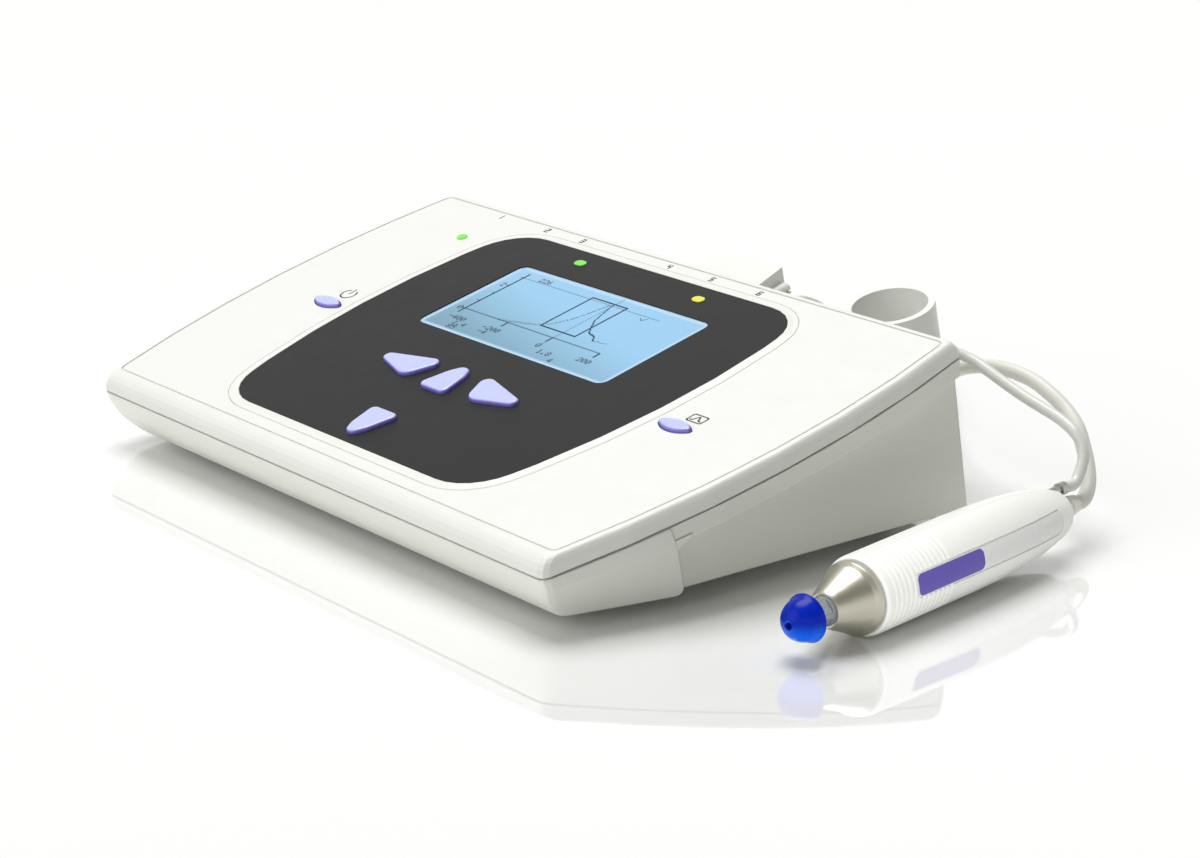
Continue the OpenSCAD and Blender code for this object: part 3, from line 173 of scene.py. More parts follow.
def makeGrainGroup():
    c = grainLook
    group, given, result = newGroup(
        "mouldedGrain",
        [("Grain Scale", 1500), ("Patch Scale", 14)],
        [("Height", "NodeSocketFloat"), ("Tone", "NodeSocketFloat"), ("Polish", "NodeSocketFloat")],
    )
    coords = objectCoords(group)
    fine = noiseNode(group, coords, given.outputs["Grain Scale"], c["fineDetail"])
    coarse = noiseNode(group, coords, given.outputs["Patch Scale"], c["patchDetail"])
    smudgeScale = mathNode(group, "MULTIPLY", given.outputs["Patch Scale"], c["smudgeTimes"])
    smudge = noiseNode(group, coords, smudgeScale, c["smudgeDetail"], c["smudgeRough"])
    group.links.new(fine, result.inputs["Height"])
    group.links.new(coarse, result.inputs["Tone"])
    group.links.new(smudge, result.inputs["Polish"])
    return group


# Turned metal: rings round the probe's axis
brushLook = {"stretch": (0.02, 1.0, 0.02), "ringDetail": 4.0, "ringRough": 0.7, "blotch": 60.0,
             "blotchDetail": 3.0}


def makeBrushGroup():
    c = brushLook
    group, given, result = newGroup(
        "turnedMetal",
        [("Ring Scale", 900)],
        [("Height", "NodeSocketFloat"), ("Tone", "NodeSocketFloat")],
    )
    coords = objectCoords(group)
    turn = group.nodes.new("ShaderNodeMapping")
    turn.inputs["Rotation"].default_value = (0, 0, math.radians(-layout["probeHeading"]))
    turn.inputs["Scale"].default_value = c["stretch"]
    group.links.new(coords, turn.inputs["Vector"])
    rings = noiseNode(group, turn.outputs[0], given.outputs["Ring Scale"], c["ringDetail"], c["ringRough"])
    blotch = noiseNode(group, coords, c["blotch"], c["blotchDetail"])
    group.links.new(rings, result.inputs["Height"])
    group.links.new(blotch, result.inputs["Tone"])
    return group


# Coordinates in the console's own slope: X across, Y up the slope, Z out of it
def slopeCoords(tree):
    turn = tree.nodes.new("ShaderNodeMapping")
    turn.vector_type = "TEXTURE"
    turn.inputs["Location"].default_value = fromSlope(0, 0, 0)
    turn.inputs["Rotation"].default_value = (math.radians(layout["topTilt"]), 0, 0)
    tree.links.new(objectCoords(tree), turn.inputs["Vector"])
    return turn.outputs[0]


# Painted shade: a dark line in the narrow seam between the two case halves, where shade falls into the gap
seamLook = {"half": 0.00029, "shade": (0.03, 0.03, 0.028, 1)}


def makeSeamGroup():
    group, given, result = newGroup(
        "seamShade",
        [("Half Width", seamLook["half"])],
        [("Mask", "NodeSocketFloat")],
    )
    split = group.nodes.new("ShaderNodeSeparateXYZ")
    group.links.new(slopeCoords(group), split.inputs[0])
    off = mathNode(group, "ABSOLUTE", split.outputs["Z"])
    group.links.new(mathNode(group, "LESS_THAN", off, given.outputs["Half Width"]), result.inputs["Mask"])
    return group


grainGroup = makeGrainGroup()
brushGroup = makeBrushGroup()
seamGroup = makeSeamGroup()


def shade(color, factor):
    return tuple(max(0.0, min(1.0, c * factor)) for c in color[:3]) + (1.0,)


finishLook = {"noiseRange": (0.3, 0.7), "leastRough": 0.02, "bumpStrength": 0.6, "edgeSamples": 4}


def makeFinish(name, color, roughness=0.45, spread=0.05, depth=0.00002, grain=1500, patch=14, polish=0.08,
               group=None, edge=0.0, second=None, **extra):
    c = finishLook
    mat = bpy.data.materials.new(name)
    mat.use_nodes = True
    tree = mat.node_tree
    shader = tree.nodes["Principled BSDF"]
    effect = tree.nodes.new("ShaderNodeGroup")
    effect.node_tree = group or grainGroup
    effect.inputs[0].default_value = grain
    if "Patch Scale" in effect.inputs:
        effect.inputs["Patch Scale"].default_value = patch
    mix = tree.nodes.new("ShaderNodeMix")
    mix.data_type = "RGBA"
    mix.inputs["A"].default_value = shade(color, 1 - spread)
    mix.inputs["B"].default_value = shade(color, 1 + spread)
    tree.links.new(effect.outputs["Tone"], mix.inputs["Factor"])
    tone = mix.outputs["Result"]
    if second:
        tone = second(tree, tone)
    tree.links.new(tone, shader.inputs["Base Color"])
    polishMask = effect.outputs.get("Polish") or effect.outputs["Tone"]
    rough = rangeNode(tree, polishMask, *c["noiseRange"], max(c["leastRough"], roughness - polish),
                      min(1.0, roughness + polish), False)
    tree.links.new(rough, shader.inputs["Roughness"])
    bump = tree.nodes.new("ShaderNodeBump")
    bump.inputs["Distance"].default_value = depth
    bump.inputs["Strength"].default_value = c["bumpStrength"]
    tree.links.new(effect.outputs["Height"], bump.inputs["Height"])
    if edge:
        soft = tree.nodes.new("ShaderNodeBevel")
        soft.samples = c["edgeSamples"]
        soft.inputs["Radius"].default_value = edge
        tree.links.new(soft.outputs["Normal"], bump.inputs["Normal"])
    tree.links.new(bump.outputs["Normal"], shader.inputs["Normal"])
    for label, value in extra.items():
        shader.inputs[label.replace("_", " ")].default_value = value
    return mat


def mixTone(tree, mask, below, above):
    mix = tree.nodes.new("ShaderNodeMix")
    mix.data_type = "RGBA"
    tree.links.new(mask, mix.inputs["Factor"])
    for socket, value in ((mix.inputs["A"], below), (mix.inputs["B"], above)):
        if isinstance(value, tuple):
            socket.default_value = value
        else:
            tree.links.new(value, socket)
    return mix.outputs["Result"]


# The screen's light: a little deeper away from its lamps, and a pale rim at the glass edge
screenLook = {
    "halfWidth": 0.049, "halfHeight": 0.02465, "middle": 0.1106, "rim": 0.0016, "rimFrom": 1.7, "rimTo": 0.6,
    "slant": 0.22, "fallFrom": 0.010, "fallTo": -0.036,
    "deep": (0.17, 0.33, 0.44, 1), "pale": (0.48, 0.70, 0.92, 1),
}


def screenTone(tree, tone):
    c = screenLook
    split = tree.nodes.new("ShaderNodeSeparateXYZ")
    tree.links.new(slopeCoords(tree), split.inputs[0])
    across = mathNode(tree, "ABSOLUTE", split.outputs["X"])
    along = mathNode(tree, "ABSOLUTE", mathNode(tree, "SUBTRACT", split.outputs["Y"], c["middle"]))
    edges = [rangeNode(tree, distance, half - c["rimFrom"] * c["rim"], half - c["rimTo"] * c["rim"])
             for distance, half in ((across, c["halfWidth"]), (along, c["halfHeight"]))]
    rim = mathNode(tree, "MAXIMUM", *edges)
    slant = mathNode(tree, "MULTIPLY", split.outputs["X"], c["slant"])
    slant = mathNode(tree, "ADD", slant, split.outputs["Y"])
    fall = rangeNode(tree, slant, c["middle"] + c["fallFrom"], c["middle"] + c["fallTo"])
    return mixTone(tree, rim, mixTone(tree, fall, tone, c["deep"]), c["pale"])


# Painted light: the ear tip's soft blue is lighter towards its underside, for light passing through the soft
# tip
tipLook = {"under": (0.0, 0.13, 0.85, 1), "from": 0.25, "to": -0.75}


def paintedTipLight(tree, tone):
    c = tipLook
    split = tree.nodes.new("ShaderNodeSeparateXYZ")
    tree.links.new(objectCoords(tree, "Normal"), split.inputs[0])
    return mixTone(tree, rangeNode(tree, split.outputs["Z"], c["from"], c["to"]), tone, c["under"])


# Mixes the painted seam shade into a case finish's colour
def paintedSeamShade(tree, tone):
    seam = tree.nodes.new("ShaderNodeGroup")
    seam.node_tree = seamGroup
    seam.inputs["Half Width"].default_value = seamLook["half"]
    return mixTone(tree, seam.outputs["Mask"], tone, seamLook["shade"])


# Painted highlight: keys are paler on their crowns than down their sides, where the crowns catch the light
keyLook = {"crown": (0.54, 0.58, 1.0, 1), "from": 0.5, "to": 0.96}


def paintedKeyHighlight(tree, tone):
    c = keyLook
    dot = tree.nodes.new("ShaderNodeVectorMath")
    dot.operation = "DOT_PRODUCT"
    tree.links.new(objectCoords(tree, "Normal"), dot.inputs[0])
    dot.inputs[1].default_value = (fromSlope(0, 0, 1) - fromSlope(0, 0, 0)) * 1000
    return mixTone(tree, rangeNode(tree, dot.outputs["Value"], c["from"], c["to"]), tone, c["crown"])


finishes = {
    "caseWhite": makeFinish("caseWhite", (0.84, 0.848, 0.80), 0.38, 0.012, edge=0.0006, second=paintedSeamShade),
    # Painted shade: the lower case is the cover's white plastic, made a little darker and greener for the
    # shade on its walls
    "caseShadedWhite": makeFinish("caseShadedWhite", (0.81, 0.825, 0.755), 0.42, 0.015, edge=0.0007, second=paintedSeamShade),
    "gripWhite": makeFinish("gripWhite", (0.88, 0.885, 0.85), 0.36, 0.012),
    "filmWhite": makeFinish("filmWhite", (0.85, 0.855, 0.825), 0.36, 0.008, 0.00001),
    "filmDark": makeFinish("filmDark", (0.013, 0.0133, 0.0138), 0.40, 0.05, 0.000006, 2600, 9, 0.05,
                           Specular_IOR_Level=0.10),
    "screenGlass": makeFinish("screenGlass", (0.31, 0.58, 0.84), 0.20, 0.01, 0.000001, 900, 9, 0.05,
                              second=screenTone, Specular_IOR_Level=0.25),
    "pixelDark": makeFinish("pixelDark", (0.012, 0.035, 0.075), 0.3, 0.1, 0.000002,
                            Specular_IOR_Level=0.15),
    "inkDark": makeFinish("inkDark", (0.03, 0.03, 0.035), 0.5, 0.1, 0.000002),
    # The key finish carries a painted highlight on the key crowns
    "keyBlue": makeFinish("keyBlue", (0.22, 0.19, 0.74), 0.30, 0.03, 0.00001, second=paintedKeyHighlight,
                          Coat_Weight=0.3, Coat_Roughness=0.15),
    "lightGreen": makeFinish("lightGreen", (0.18, 0.66, 0.07), 0.2, 0.1,
                             Emission_Color=(0.2, 1.0, 0.08, 1), Emission_Strength=0.18),
    "lightYellow": makeFinish("lightYellow", (0.72, 0.70, 0.06), 0.2, 0.1,
                              Emission_Color=(0.9, 0.85, 0.1, 1), Emission_Strength=0.12),
    "boardGreen": makeFinish("boardGreen", (0.02, 0.16, 0.06), 0.35, 0.2),
    "blackPlastic": makeFinish("blackPlastic", (0.02, 0.02, 0.022), 0.4, 0.2, edge=0.0003),
    "ribbonAmber": makeFinish("ribbonAmber", (0.62, 0.36, 0.08), 0.4, 0.1),
    "screwSteel": makeFinish("screwSteel", (0.55, 0.55, 0.55), 0.35, 0.1, Metallic=1.0),
    "fittingBright": makeFinish("fittingBright", (0.72, 0.72, 0.73), 0.18, 0.06, Metallic=1.0),
    "coneMetal": makeFinish("coneMetal", (0.55, 0.527, 0.448), 0.33, 0.06, 0.00003, 1400,
                            polish=0.06, group=brushGroup, edge=0.0004, Metallic=1.0),
    "barbDark": makeFinish("barbDark", (0.42, 0.41, 0.39), 0.24, 0.1, Metallic=1.0),
    "footRubber": makeFinish("footRubber", (0.10, 0.10, 0.10), 0.8, 0.15, 0.00006),
    "ringRubber": makeFinish("ringRubber", (0.012, 0.012, 0.012), 0.6, 0.2),
    "labelSilver": makeFinish("labelSilver", (0.62, 0.62, 0.62), 0.4, 0.05),
    "motorGrey": makeFinish("motorGrey", (0.25, 0.26, 0.27), 0.4, 0.1, Metallic=0.7),
    "acetalWhite": makeFinish("acetalWhite", (0.80, 0.79, 0.74), 0.4, 0.04),
    "valveBlue": makeFinish("valveBlue", (0.05, 0.13, 0.35), 0.4, 0.1),
    "siliconeHose": makeFinish("siliconeHose", (0.75, 0.75, 0.72), 0.35, 0.05, Transmission_Weight=0.2),
    "cableSheath": makeFinish("cableSheath", (0.80, 0.79, 0.73), 0.42, 0.03),
    "tubeVinyl": makeFinish("tubeVinyl", (0.74, 0.745, 0.70), 0.28, 0.04),
    "tipClear": makeFinish("tipClear", (0.72, 0.76, 0.80), 0.08, 0.01, 0.000005,
                           Transmission_Weight=0.7, IOR=1.45),
    # The ear tip finish carries painted light on its underside
    "tipBlue": makeFinish("tipBlue", (0.0, 0.014, 0.34), 0.24, 0.08, 0.000006, second=paintedTipLight,
                          Specular_IOR_Level=0.12),
    "labelViolet": makeFinish("labelViolet", (0.10, 0.065, 0.42), 0.32, 0.04, 0.000004),
    "labelPale": makeFinish("labelPale", (0.80, 0.80, 0.79), 0.30, 0.02, 0.000004),
}

nodeFinishes = {
    "caseWhite": ["top_cover"],
    "gripWhite": ["probe_holder", "handle_left_shell", "handle_right_shell", "plug_hood"],
    "caseShadedWhite": ["lower_case"],
    "filmWhite": ["top_film"],
    "filmDark": ["panel_film"],
    "screenGlass": ["screen_window"],
    "keyBlue": ["left_key", "right_key", "up_key", "down_key", "power_key", "display_key"],
    "lightGreen": ["left_indicator", "power_indicator"],
    "lightYellow": ["right_indicator"],
    "boardGreen": ["main_board", "socket_board", "probe_board"],
    "blackPlastic": ["key_switches", "power_socket", "printer_socket", "contra_socket"],
    "ribbonAmber": ["screen_ribbon"],
    "screwSteel": ["case_screws", "board_screws", "pump_bracket", "usb_socket", "probe_socket",
                   "screen_module", "pump_screw"],
    "fittingBright": ["air_fitting"],
    "coneMetal": ["nose_cone"],
    "barbDark": ["air_barb"],
    "footRubber": ["rubber_feet"],
    "ringRubber": ["cone_gasket", "coil_ties"],
    "labelSilver": ["rating_label"],
    "motorGrey": ["pump_motor", "probe_coupler"],
    "acetalWhite": ["pump_piston", "pump_cylinder", "air_manifold", "air_connector",
                    "left_jackscrew", "right_jackscrew"],
    "valveBlue": ["relief_valve"],
    "siliconeHose": ["pump_hose", "outlet_hose"],
    "cableSheath": ["probe_cable", "cable_coil", "plug_boot", "handle_boot"],
    "tubeVinyl": ["air_tube", "air_coil"],
    "tipClear": ["probe_tip"],
    "tipBlue": ["ear_tip"],
    "labelViolet": ["handle_label"],
}
for finish, names in nodeFinishes.items():
    for name in names:
        for place in cadNodes[name].material_slots:
            place.link = "OBJECT"
            place.material = finishes[finish]
print("finishes made")


# Mesh helpers for the pieces that are made here
def addPiece(name, verts, faces, finish, body=rootBody, replaced=(), crease=40):
    mesh = bpy.data.meshes.new(name)
    mesh.from_pydata([tuple(v) for v in verts], [], faces)
    mesh.validate()
    mesh.polygons.foreach_set("use_smooth", [True] * len(mesh.polygons))
    mesh.set_sharp_from_angle(angle=math.radians(crease))
    mesh.materials.append(finishes[finish])
    piece = bpy.data.objects.new(name, mesh)
    bpy.context.scene.collection.objects.link(piece)
    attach(piece, body)
    if replaced:
        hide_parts(*replaced)
    return piece


def skinRings(rings, start=0):
    n = len(rings[0])
    faces = []
    for j in range(len(rings) - 1):
        for i in range(n):
            a, b = start + j * n + i, start + j * n + (i + 1) % n
            faces.append((a, b, b + n, a + n))
    faces.append(tuple(start + i for i in reversed(range(n))))
    faces.append(tuple(start + (len(rings) - 1) * n + i for i in range(n)))
    return faces


def cornerArc(a, b, c, r, k):
    u, w = (a - b).normalized(), (c - b).normalized()
    half = math.acos(max(-1, min(1, u.dot(w)))) / 2
    middle = b + (u + w).normalized() * r / math.sin(half)
    p, q = b + u * r / math.tan(half) - middle, b + w * r / math.tan(half) - middle
    a0 = math.atan2(p.y, p.x)
    turn = (math.atan2(q.y, q.x) - a0 + math.pi) % (2 * math.pi) - math.pi
    angles = [a0 + turn * i / k for i in range(k + 1)]
    return [middle + r * Vector((math.cos(a), math.sin(a))) for a in angles]


def roundedOutline(points, radii, k=8):
    points = [Vector(p) for p in points]
    out = []
    for i, p in enumerate(points):
        out += cornerArc(points[i - 1], p, points[(i + 1) % len(points)], radii[i], k)
    return out


def grownOutline(points, e):
    points = [Vector(p) for p in points]
    out = []
    for i, b in enumerate(points):
        u, w = (points[i - 1] - b).normalized(), (points[(i + 1) % len(points)] - b).normalized()
        out.append(b - (u + w).normalized() * e / math.sin(math.acos(u.dot(w)) / 2))
    return out


# Keys: crowned caps with a rounded rim, on their flanges and stems
keySetup = {
    "arrow": {"points": [(-17.8, -0.4), (6.7, -7.7), (13.8, 8)], "radii": [2.4, 5, 3]},
    "up": {"points": [(-7.1, -8.1), (7.1, -8.1), (4.4, 3.4), (1.85, 8), (-1.85, 8), (-4.4, 3.4)],
           "radii": [2.3, 2.3, 6, 3.1, 3.1, 6]},
    "eyeLength": 15.5, "eyeWidth": 6.5, "eyeGap": 0.3,
    "flange": 1.2, "flangeLevels": (2.0, 3.1), "neck": 0.001, "proud": 1.4,
    "rim": 0.95, "rimSteps": 6, "crownDrop": 0.06, "crown": ((0.8, 0.03), (0.5, 0.05), (0.2, 0.06)),
    "leastCorner": 0.35, "stem": (1.5, -0.6), "stemInto": 0.1, "stemSides": 16,
    "places": {"left_key": ("arrow", -23.5, 62.6, 1, 1), "right_key": ("arrow", 23.5, 62.6, -1, 1),
               "up_key": ("up", 0, 61.9, 1, 1), "down_key": ("up", 0, 28.1, 1, -1),
               "power_key": ("eye", -92, 79, 1, 1), "display_key": ("eye", 92, 79, 1, 1)},
}


def keyOutline(kind, e):
    c = keySetup
    if kind == "eye":
        e -= c["eyeGap"]
        l, w = c["eyeLength"] / 2 + e, c["eyeWidth"] / 2 + e
        r = (l * l + w * w) / (2 * w)
        a = math.asin(min(1, l / r)) * 0.9
        arc = [Vector((r * math.sin(a * i / 9), w - r + r * math.cos(a * i / 9))) for i in range(-9, 10)]
        return arc + [-p for p in arc]
    points, radii = c[kind]["points"], c[kind]["radii"]
    return roundedOutline(grownOutline(points, e), [max(c["leastCorner"], r + e) for r in radii])


def makeKeys():
    c = keySetup
    for name, (kind, x, v, mx, mv) in c["places"].items():
        face = layout["coverHeight"] if kind == "eye" else layout["panelHeight"]
        top = face + c["proud"]
        low, high = c["flangeLevels"]
        levels = [(c["flange"], low), (c["flange"], high), (c["neck"], high), (c["neck"], top - c["rim"])]
        for step in range(1, c["rimSteps"] + 1):
            a = math.radians(90 / c["rimSteps"] * step)
            rise = (c["rim"] - c["crownDrop"]) * math.sin(a)
            levels.append((-c["rim"] * (1 - math.cos(a)), top - c["rim"] + rise))
        loops = []
        for e, n in levels:
            loops.append([(x + mx * p.x, v + mv * p.y, n) for p in keyOutline(kind, e)])
        last = loops[-1]
        for share, rise in c["crown"]:
            level = top - c["crownDrop"] + rise
            loops.append([(x + (p[0] - x) * share, v + (p[1] - v) * share, level) for p in last])
        verts = [fromSlope(*p) for loop in loops for p in loop]
        faces = skinRings(loops)
        base = len(verts)
        radius, foot = c["stem"]
        angles = [math.radians(360 / c["stemSides"] * i) for i in range(c["stemSides"])]
        stem = [[(x + radius * math.cos(a), v + radius * math.sin(a), n) for a in angles]
                for n in (foot, low + c["stemInto"])]
        verts += [fromSlope(*p) for loop in stem for p in loop]
        faces += skinRings(stem, base)
        if mx * mv < 0:
            faces = [tuple(reversed(f)) if max(f) < base else f for f in faces]
        addPiece(name.replace("_k", "K") + "Cap", verts, faces, "keyBlue", name, (name,), 50)
    print("keys made")


makeKeys()

# The picture on the screen: a plain pressure curve with plain numbers, dot by dot
screenSetup = {
    "left": -45.0, "bottom": 88.3, "dotWide": 0.372, "dotTall": 0.36, "rise": 0.03,
    "digitWide": 5, "digitTall": 7,
    "digits": {"0": "0e11131519110e", "1": "040c040404040e", "2": "0e11010204081f", "4": "02060a121f0202",
               "5": "1f101e0101110e", "6": "0608101e11110e", "8": "0e11110e11110e", "-": "0000001f000000",
               ".": "00000000000c0c"},
    "numbers": [("226", 29, 113), ("2", 0, 88), ("0", 1, 33), ("-400", 8, 16), ("-200", 58, 16),
                ("0", 135, 16), ("200", 192, 16), ("1.4", 24, 8), ("-4", 60, 8), ("85", 24, 0),
                ("1.8", 146, 8), ("4", 169, 0)],
    "axis": {"columns": (9, 10), "from": 28, "to": 119},
    "rowTicks": {"rows": (36, 55, 74, 92, 111), "from": 6, "to": 9},
    "columnTicks": {"columns": (73, 74, 137, 138, 202, 203), "from": 28, "to": 36},
    "dottedRows": {"rows": (36, 37, 111), "from": 11, "to": 202},
    "dottedColumns": {"columns": (138,), "from": 22, "to": 126},
    "frame": {"left": 106, "right": 155, "bottom": 48, "top": 115},
    "rising": [(60, 36), (75, 39), (94, 44), (106, 49), (116, 58), (124, 72), (129, 89), (134, 108),
               (137, 111)],
    "falling": [(137, 111), (141, 97), (146, 80), (150, 75), (155, 67), (161, 60), (171, 57), (177, 50)],
    "settling": [(178, 51), (183, 52), (187, 51), (194, 53)],
    "tick": [(182, 106), (185, 103), (189, 108)],
}


def screenDots():
    c = screenSetup
    dots = set()

    def line(x0, y0, x1, y1, skip=1):
        count = max(1, int(max(abs(x1 - x0), abs(y1 - y0))))
        for i in range(0, count + 1, skip):
            dots.add((round(x0 + (x1 - x0) * i / count), round(y0 + (y1 - y0) * i / count)))

    def route(points, dy=0, skip=1):
        for (x0, y0), (x1, y1) in zip(points, points[1:]):
            line(x0, y0 + dy, x1, y1 + dy, skip)

    for group, skip in (("axis", 1), ("columnTicks", 1), ("dottedColumns", 2)):
        for column in c[group]["columns"]:
            line(column, c[group]["from"], column, c[group]["to"], skip)
    for group, skip in (("rowTicks", 1), ("dottedRows", 2)):
        for row in c[group]["rows"]:
            line(c[group]["from"], row, c[group]["to"], row, skip)
    left, right, bottom, top = (c["frame"][k] for k in ("left", "right", "bottom", "top"))
    for column in (left, left + 1, right - 1, right):
        line(column, bottom, column, top)
    for row in (bottom, bottom + 1, top - 1, top):
        line(left, row, right, row)
    route(c["rising"], 0, 2)
    route(c["rising"], 2, 3)
    route(c["falling"])
    route(c["falling"], 1)
    route(c["settling"], 0, 2)
    route(c["tick"])
    wide, tall = c["digitWide"], c["digitTall"]
    for text, column, row in c["numbers"]:
        for letter in text:
            code = c["digits"][letter]
            for r in range(tall):
                bits = int(code[2 * r:2 * r + 2], 16)
                for bit in range(wide):
                    if bits >> (wide - 1 - bit) & 1:
                        dots.add((column + bit, row + tall - 1 - r))
            column += wide + 1
    return sorted(dots)


def makeScreenPicture():
    c = screenSetup
    verts, faces = [], []
    wide, tall = c["dotWide"] / 2, c["dotTall"] / 2
    n = layout["windowHeight"] + c["rise"]
    for column, row in screenDots():
        x, v = c["left"] + (column + 0.5) * c["dotWide"], c["bottom"] + (row + 0.5) * c["dotTall"]
        faces.append(tuple(range(len(verts), len(verts) + 4)))
        verts += [fromSlope(x + a * wide, v + b * tall, n) for a, b in ((-1, -1), (1, -1), (1, 1), (-1, 1))]
    addPiece("screenPicture", verts, faces, "pixelDark")
    print("screen picture made:", len(faces), "dots")


makeScreenPicture()

# Printed marks on the white film: an on/off sign, a screen sign and plain numbers at the sockets
markSetup = {
    "stroke": 0.58, "rise": 0.02,
    "power": {"x": -90.9, "v": 87.6, "radius": 3.0, "arc": (125, 416, 10), "barFrom": 0.3, "barPast": 0.6},
    "screen": {"x": 94.6, "v": 86.2, "width": 6.4, "height": 4.2, "corner": 0.8, "cornerSteps": 4,
               "waveStep": 0.28, "waveDrop": 1.1, "waveRise": 2.3, "waveSpread": 3.2, "waveCount": 8},
    "numbers": [("1", -92.3), ("2", -65.4), ("3", -45.6), ("4", 0.7), ("5", 22.5), ("6", 46.0)],
    "numberV": 160.0, "numberHeight": 2.4, "numberHalf": 0.27,
    "strokes": {"1": "bc", "2": "abged", "3": "abgcd", "4": "fgbc", "5": "afgcd", "6": "afgecd"},
}


def strokeQuad(p, q, width, n):
    p, q = Vector(p), Vector(q)
    ahead = (q - p).normalized() * width / 2
    side = Vector((-ahead.y, ahead.x))
    corners = (p - ahead + side, p - ahead - side, q + ahead - side, q + ahead + side)
    return [fromSlope(*corner, n) for corner in corners]


def makeMarks():
    c = markSetup
    n = layout["coverHeight"] + c["rise"]
    lines = []
    power = c["power"]
    px, pv, radius = power["x"], power["v"], power["radius"]
    angles = [math.radians(a) for a in range(*power["arc"])]
    ring = [(px + radius * math.cos(a), pv + radius * math.sin(a)) for a in angles]
    lines += list(zip(ring, ring[1:]))
    lines.append(((px, pv + power["barFrom"]), (px, pv + radius + power["barPast"])))
    screen = c["screen"]
    sx, sv = screen["x"], screen["v"]
    corners = [(sx + a * screen["width"] / 2, sv + b * screen["height"] / 2)
               for a, b in ((-1, -1), (1, -1), (1, 1), (-1, 1))]
    box = roundedOutline(corners, [screen["corner"]] * 4, screen["cornerSteps"])
    lines += list(zip(box, box[1:] + box[:1]))
    wave = []
    for i in range(-screen["waveCount"], screen["waveCount"] + 1):
        rise = screen["waveRise"] * math.exp(-(i / screen["waveSpread"]) ** 2)
        wave.append((sx + i * screen["waveStep"], sv - screen["waveDrop"] + rise))
    lines += list(zip(wave, wave[1:]))
    w, h = c["numberHeight"] * c["numberHalf"], c["numberHeight"] / 2
    ends = {"a": ((-w, h), (w, h)), "b": ((w, h), (w, 0)), "c": ((w, 0), (w, -h)), "d": ((-w, -h), (w, -h)),
            "e": ((-w, -h), (-w, 0)), "f": ((-w, 0), (-w, h)), "g": ((-w, 0), (w, 0))}
    for digit, x in c["numbers"]:
        for key in c["strokes"][digit]:
            p, q = ends[key]
            lines.append(((x + p[0], c["numberV"] + p[1]), (x + q[0], c["numberV"] + q[1])))
    verts, faces = [], []
    for p, q in lines:
        faces.append(tuple(range(len(verts), len(verts) + 4)))
        verts += strokeQuad(p, q, c["stroke"], n)
    addPiece("printedMarks", verts, faces, "inkDark")
    print("printed marks made")


makeMarks()

# The probe's grip: two shells with finger grooves beside a sunk label
gripSetup = {
    "profile": [(0.6, 11.6), (1.4, 12.2), (2.6, 12.38), (20, 12.45), (48, 12.5), (62, 12.3), (74, 11.7),
                (84, 10.7), (91, 9.5), (95, 8.7), (97.6, 8.0), (99.2, 7.4), (100.4, 6.6), (101.2, 5.6),
                (101.6, 4.6), (101.8, 4.2)],
    "wall": 2.0, "leastInside": 2.6, "seamGap": 0.05, "seamAt": 20,
    "grooveFirst": 4.0, "groovePitch": 2.2, "grooveCount": 13, "grooveDeep": 0.6, "grooveHalf": 0.7,
    "grooveSteep": 1.6, "grooveFullTo": 56, "grooveGoneBy": 74,
    "labelTurn": -12, "labelFrom": 14.0, "labelTo": 91.5, "labelHalf": 3.9, "labelCorners": (2.4, 3.6),
    "labelDeep": 0.5, "labelWall": 0.14,
    "sideSteps": 14, "labelSteps": 6, "cornerSteps": 6,
    "midFirst": 36, "midStep": 4, "midCount": 13, "leastStep": 0.02,
}


def gripRadius(s):
    points = gripSetup["profile"]
    if s <= points[0][0]:
        return points[0][1]
    for (s0, r0), (s1, r1) in zip(points, points[1:]):
        if s <= s1:
            return r0 + (r1 - r0) * (s - s0) / (s1 - s0)
    return points[-1][1]


def grooveDepth(s, turn):
    c = gripSetup
    index = round((s - c["grooveFirst"]) / c["groovePitch"])
    if index < 0 or index >= c["grooveCount"]:
        return 0
    off = abs(s - c["grooveFirst"] - index * c["groovePitch"]) / c["grooveHalf"]
    if off >= 1:
        return 0
    fade = min(1, max(0, (c["grooveGoneBy"] - abs(turn)) / (c["grooveGoneBy"] - c["grooveFullTo"])))
    return c["grooveDeep"] * min(1, (1 - off) * c["grooveSteep"]) * fade


def labelEnds():
    c = gripSetup
    return (c["labelFrom"], c["labelCorners"][0], 1), (c["labelTo"], c["labelCorners"][1], -1)


def labelHalfWidth(s):
    half = gripSetup["labelHalf"]
    for end, r, sign in labelEnds():
        inside = (s - end) * sign
        if inside <= 0:
            return half - r
        if inside < r:
            return half - r + math.sqrt(r * r - (r - inside) ** 2)
    return half


def cornerRun(r, steps):
    return [r * (1 - math.cos(math.radians(90 * k / steps))) for k in range(steps + 1)]


def gripStations():
    c = gripSetup
    stations = [p[0] for p in c["profile"]]
    for i in range(c["grooveCount"]):
        middle = c["grooveFirst"] + i * c["groovePitch"]
        stations += [middle + c["grooveHalf"] * k for k in (-1, -0.7, -0.35, 0, 0.35, 0.7, 1)]
    for end, r, sign in labelEnds():
        stations.append(end - sign * c["labelWall"])
        stations += [end + sign * run for run in cornerRun(r, c["cornerSteps"])]
    stations += [c["midFirst"] + c["midStep"] * k for k in range(c["midCount"])]
    stations = sorted(stations)
    return [v for i, v in enumerate(stations) if i == 0 or v - stations[i - 1] > c["leastStep"]]


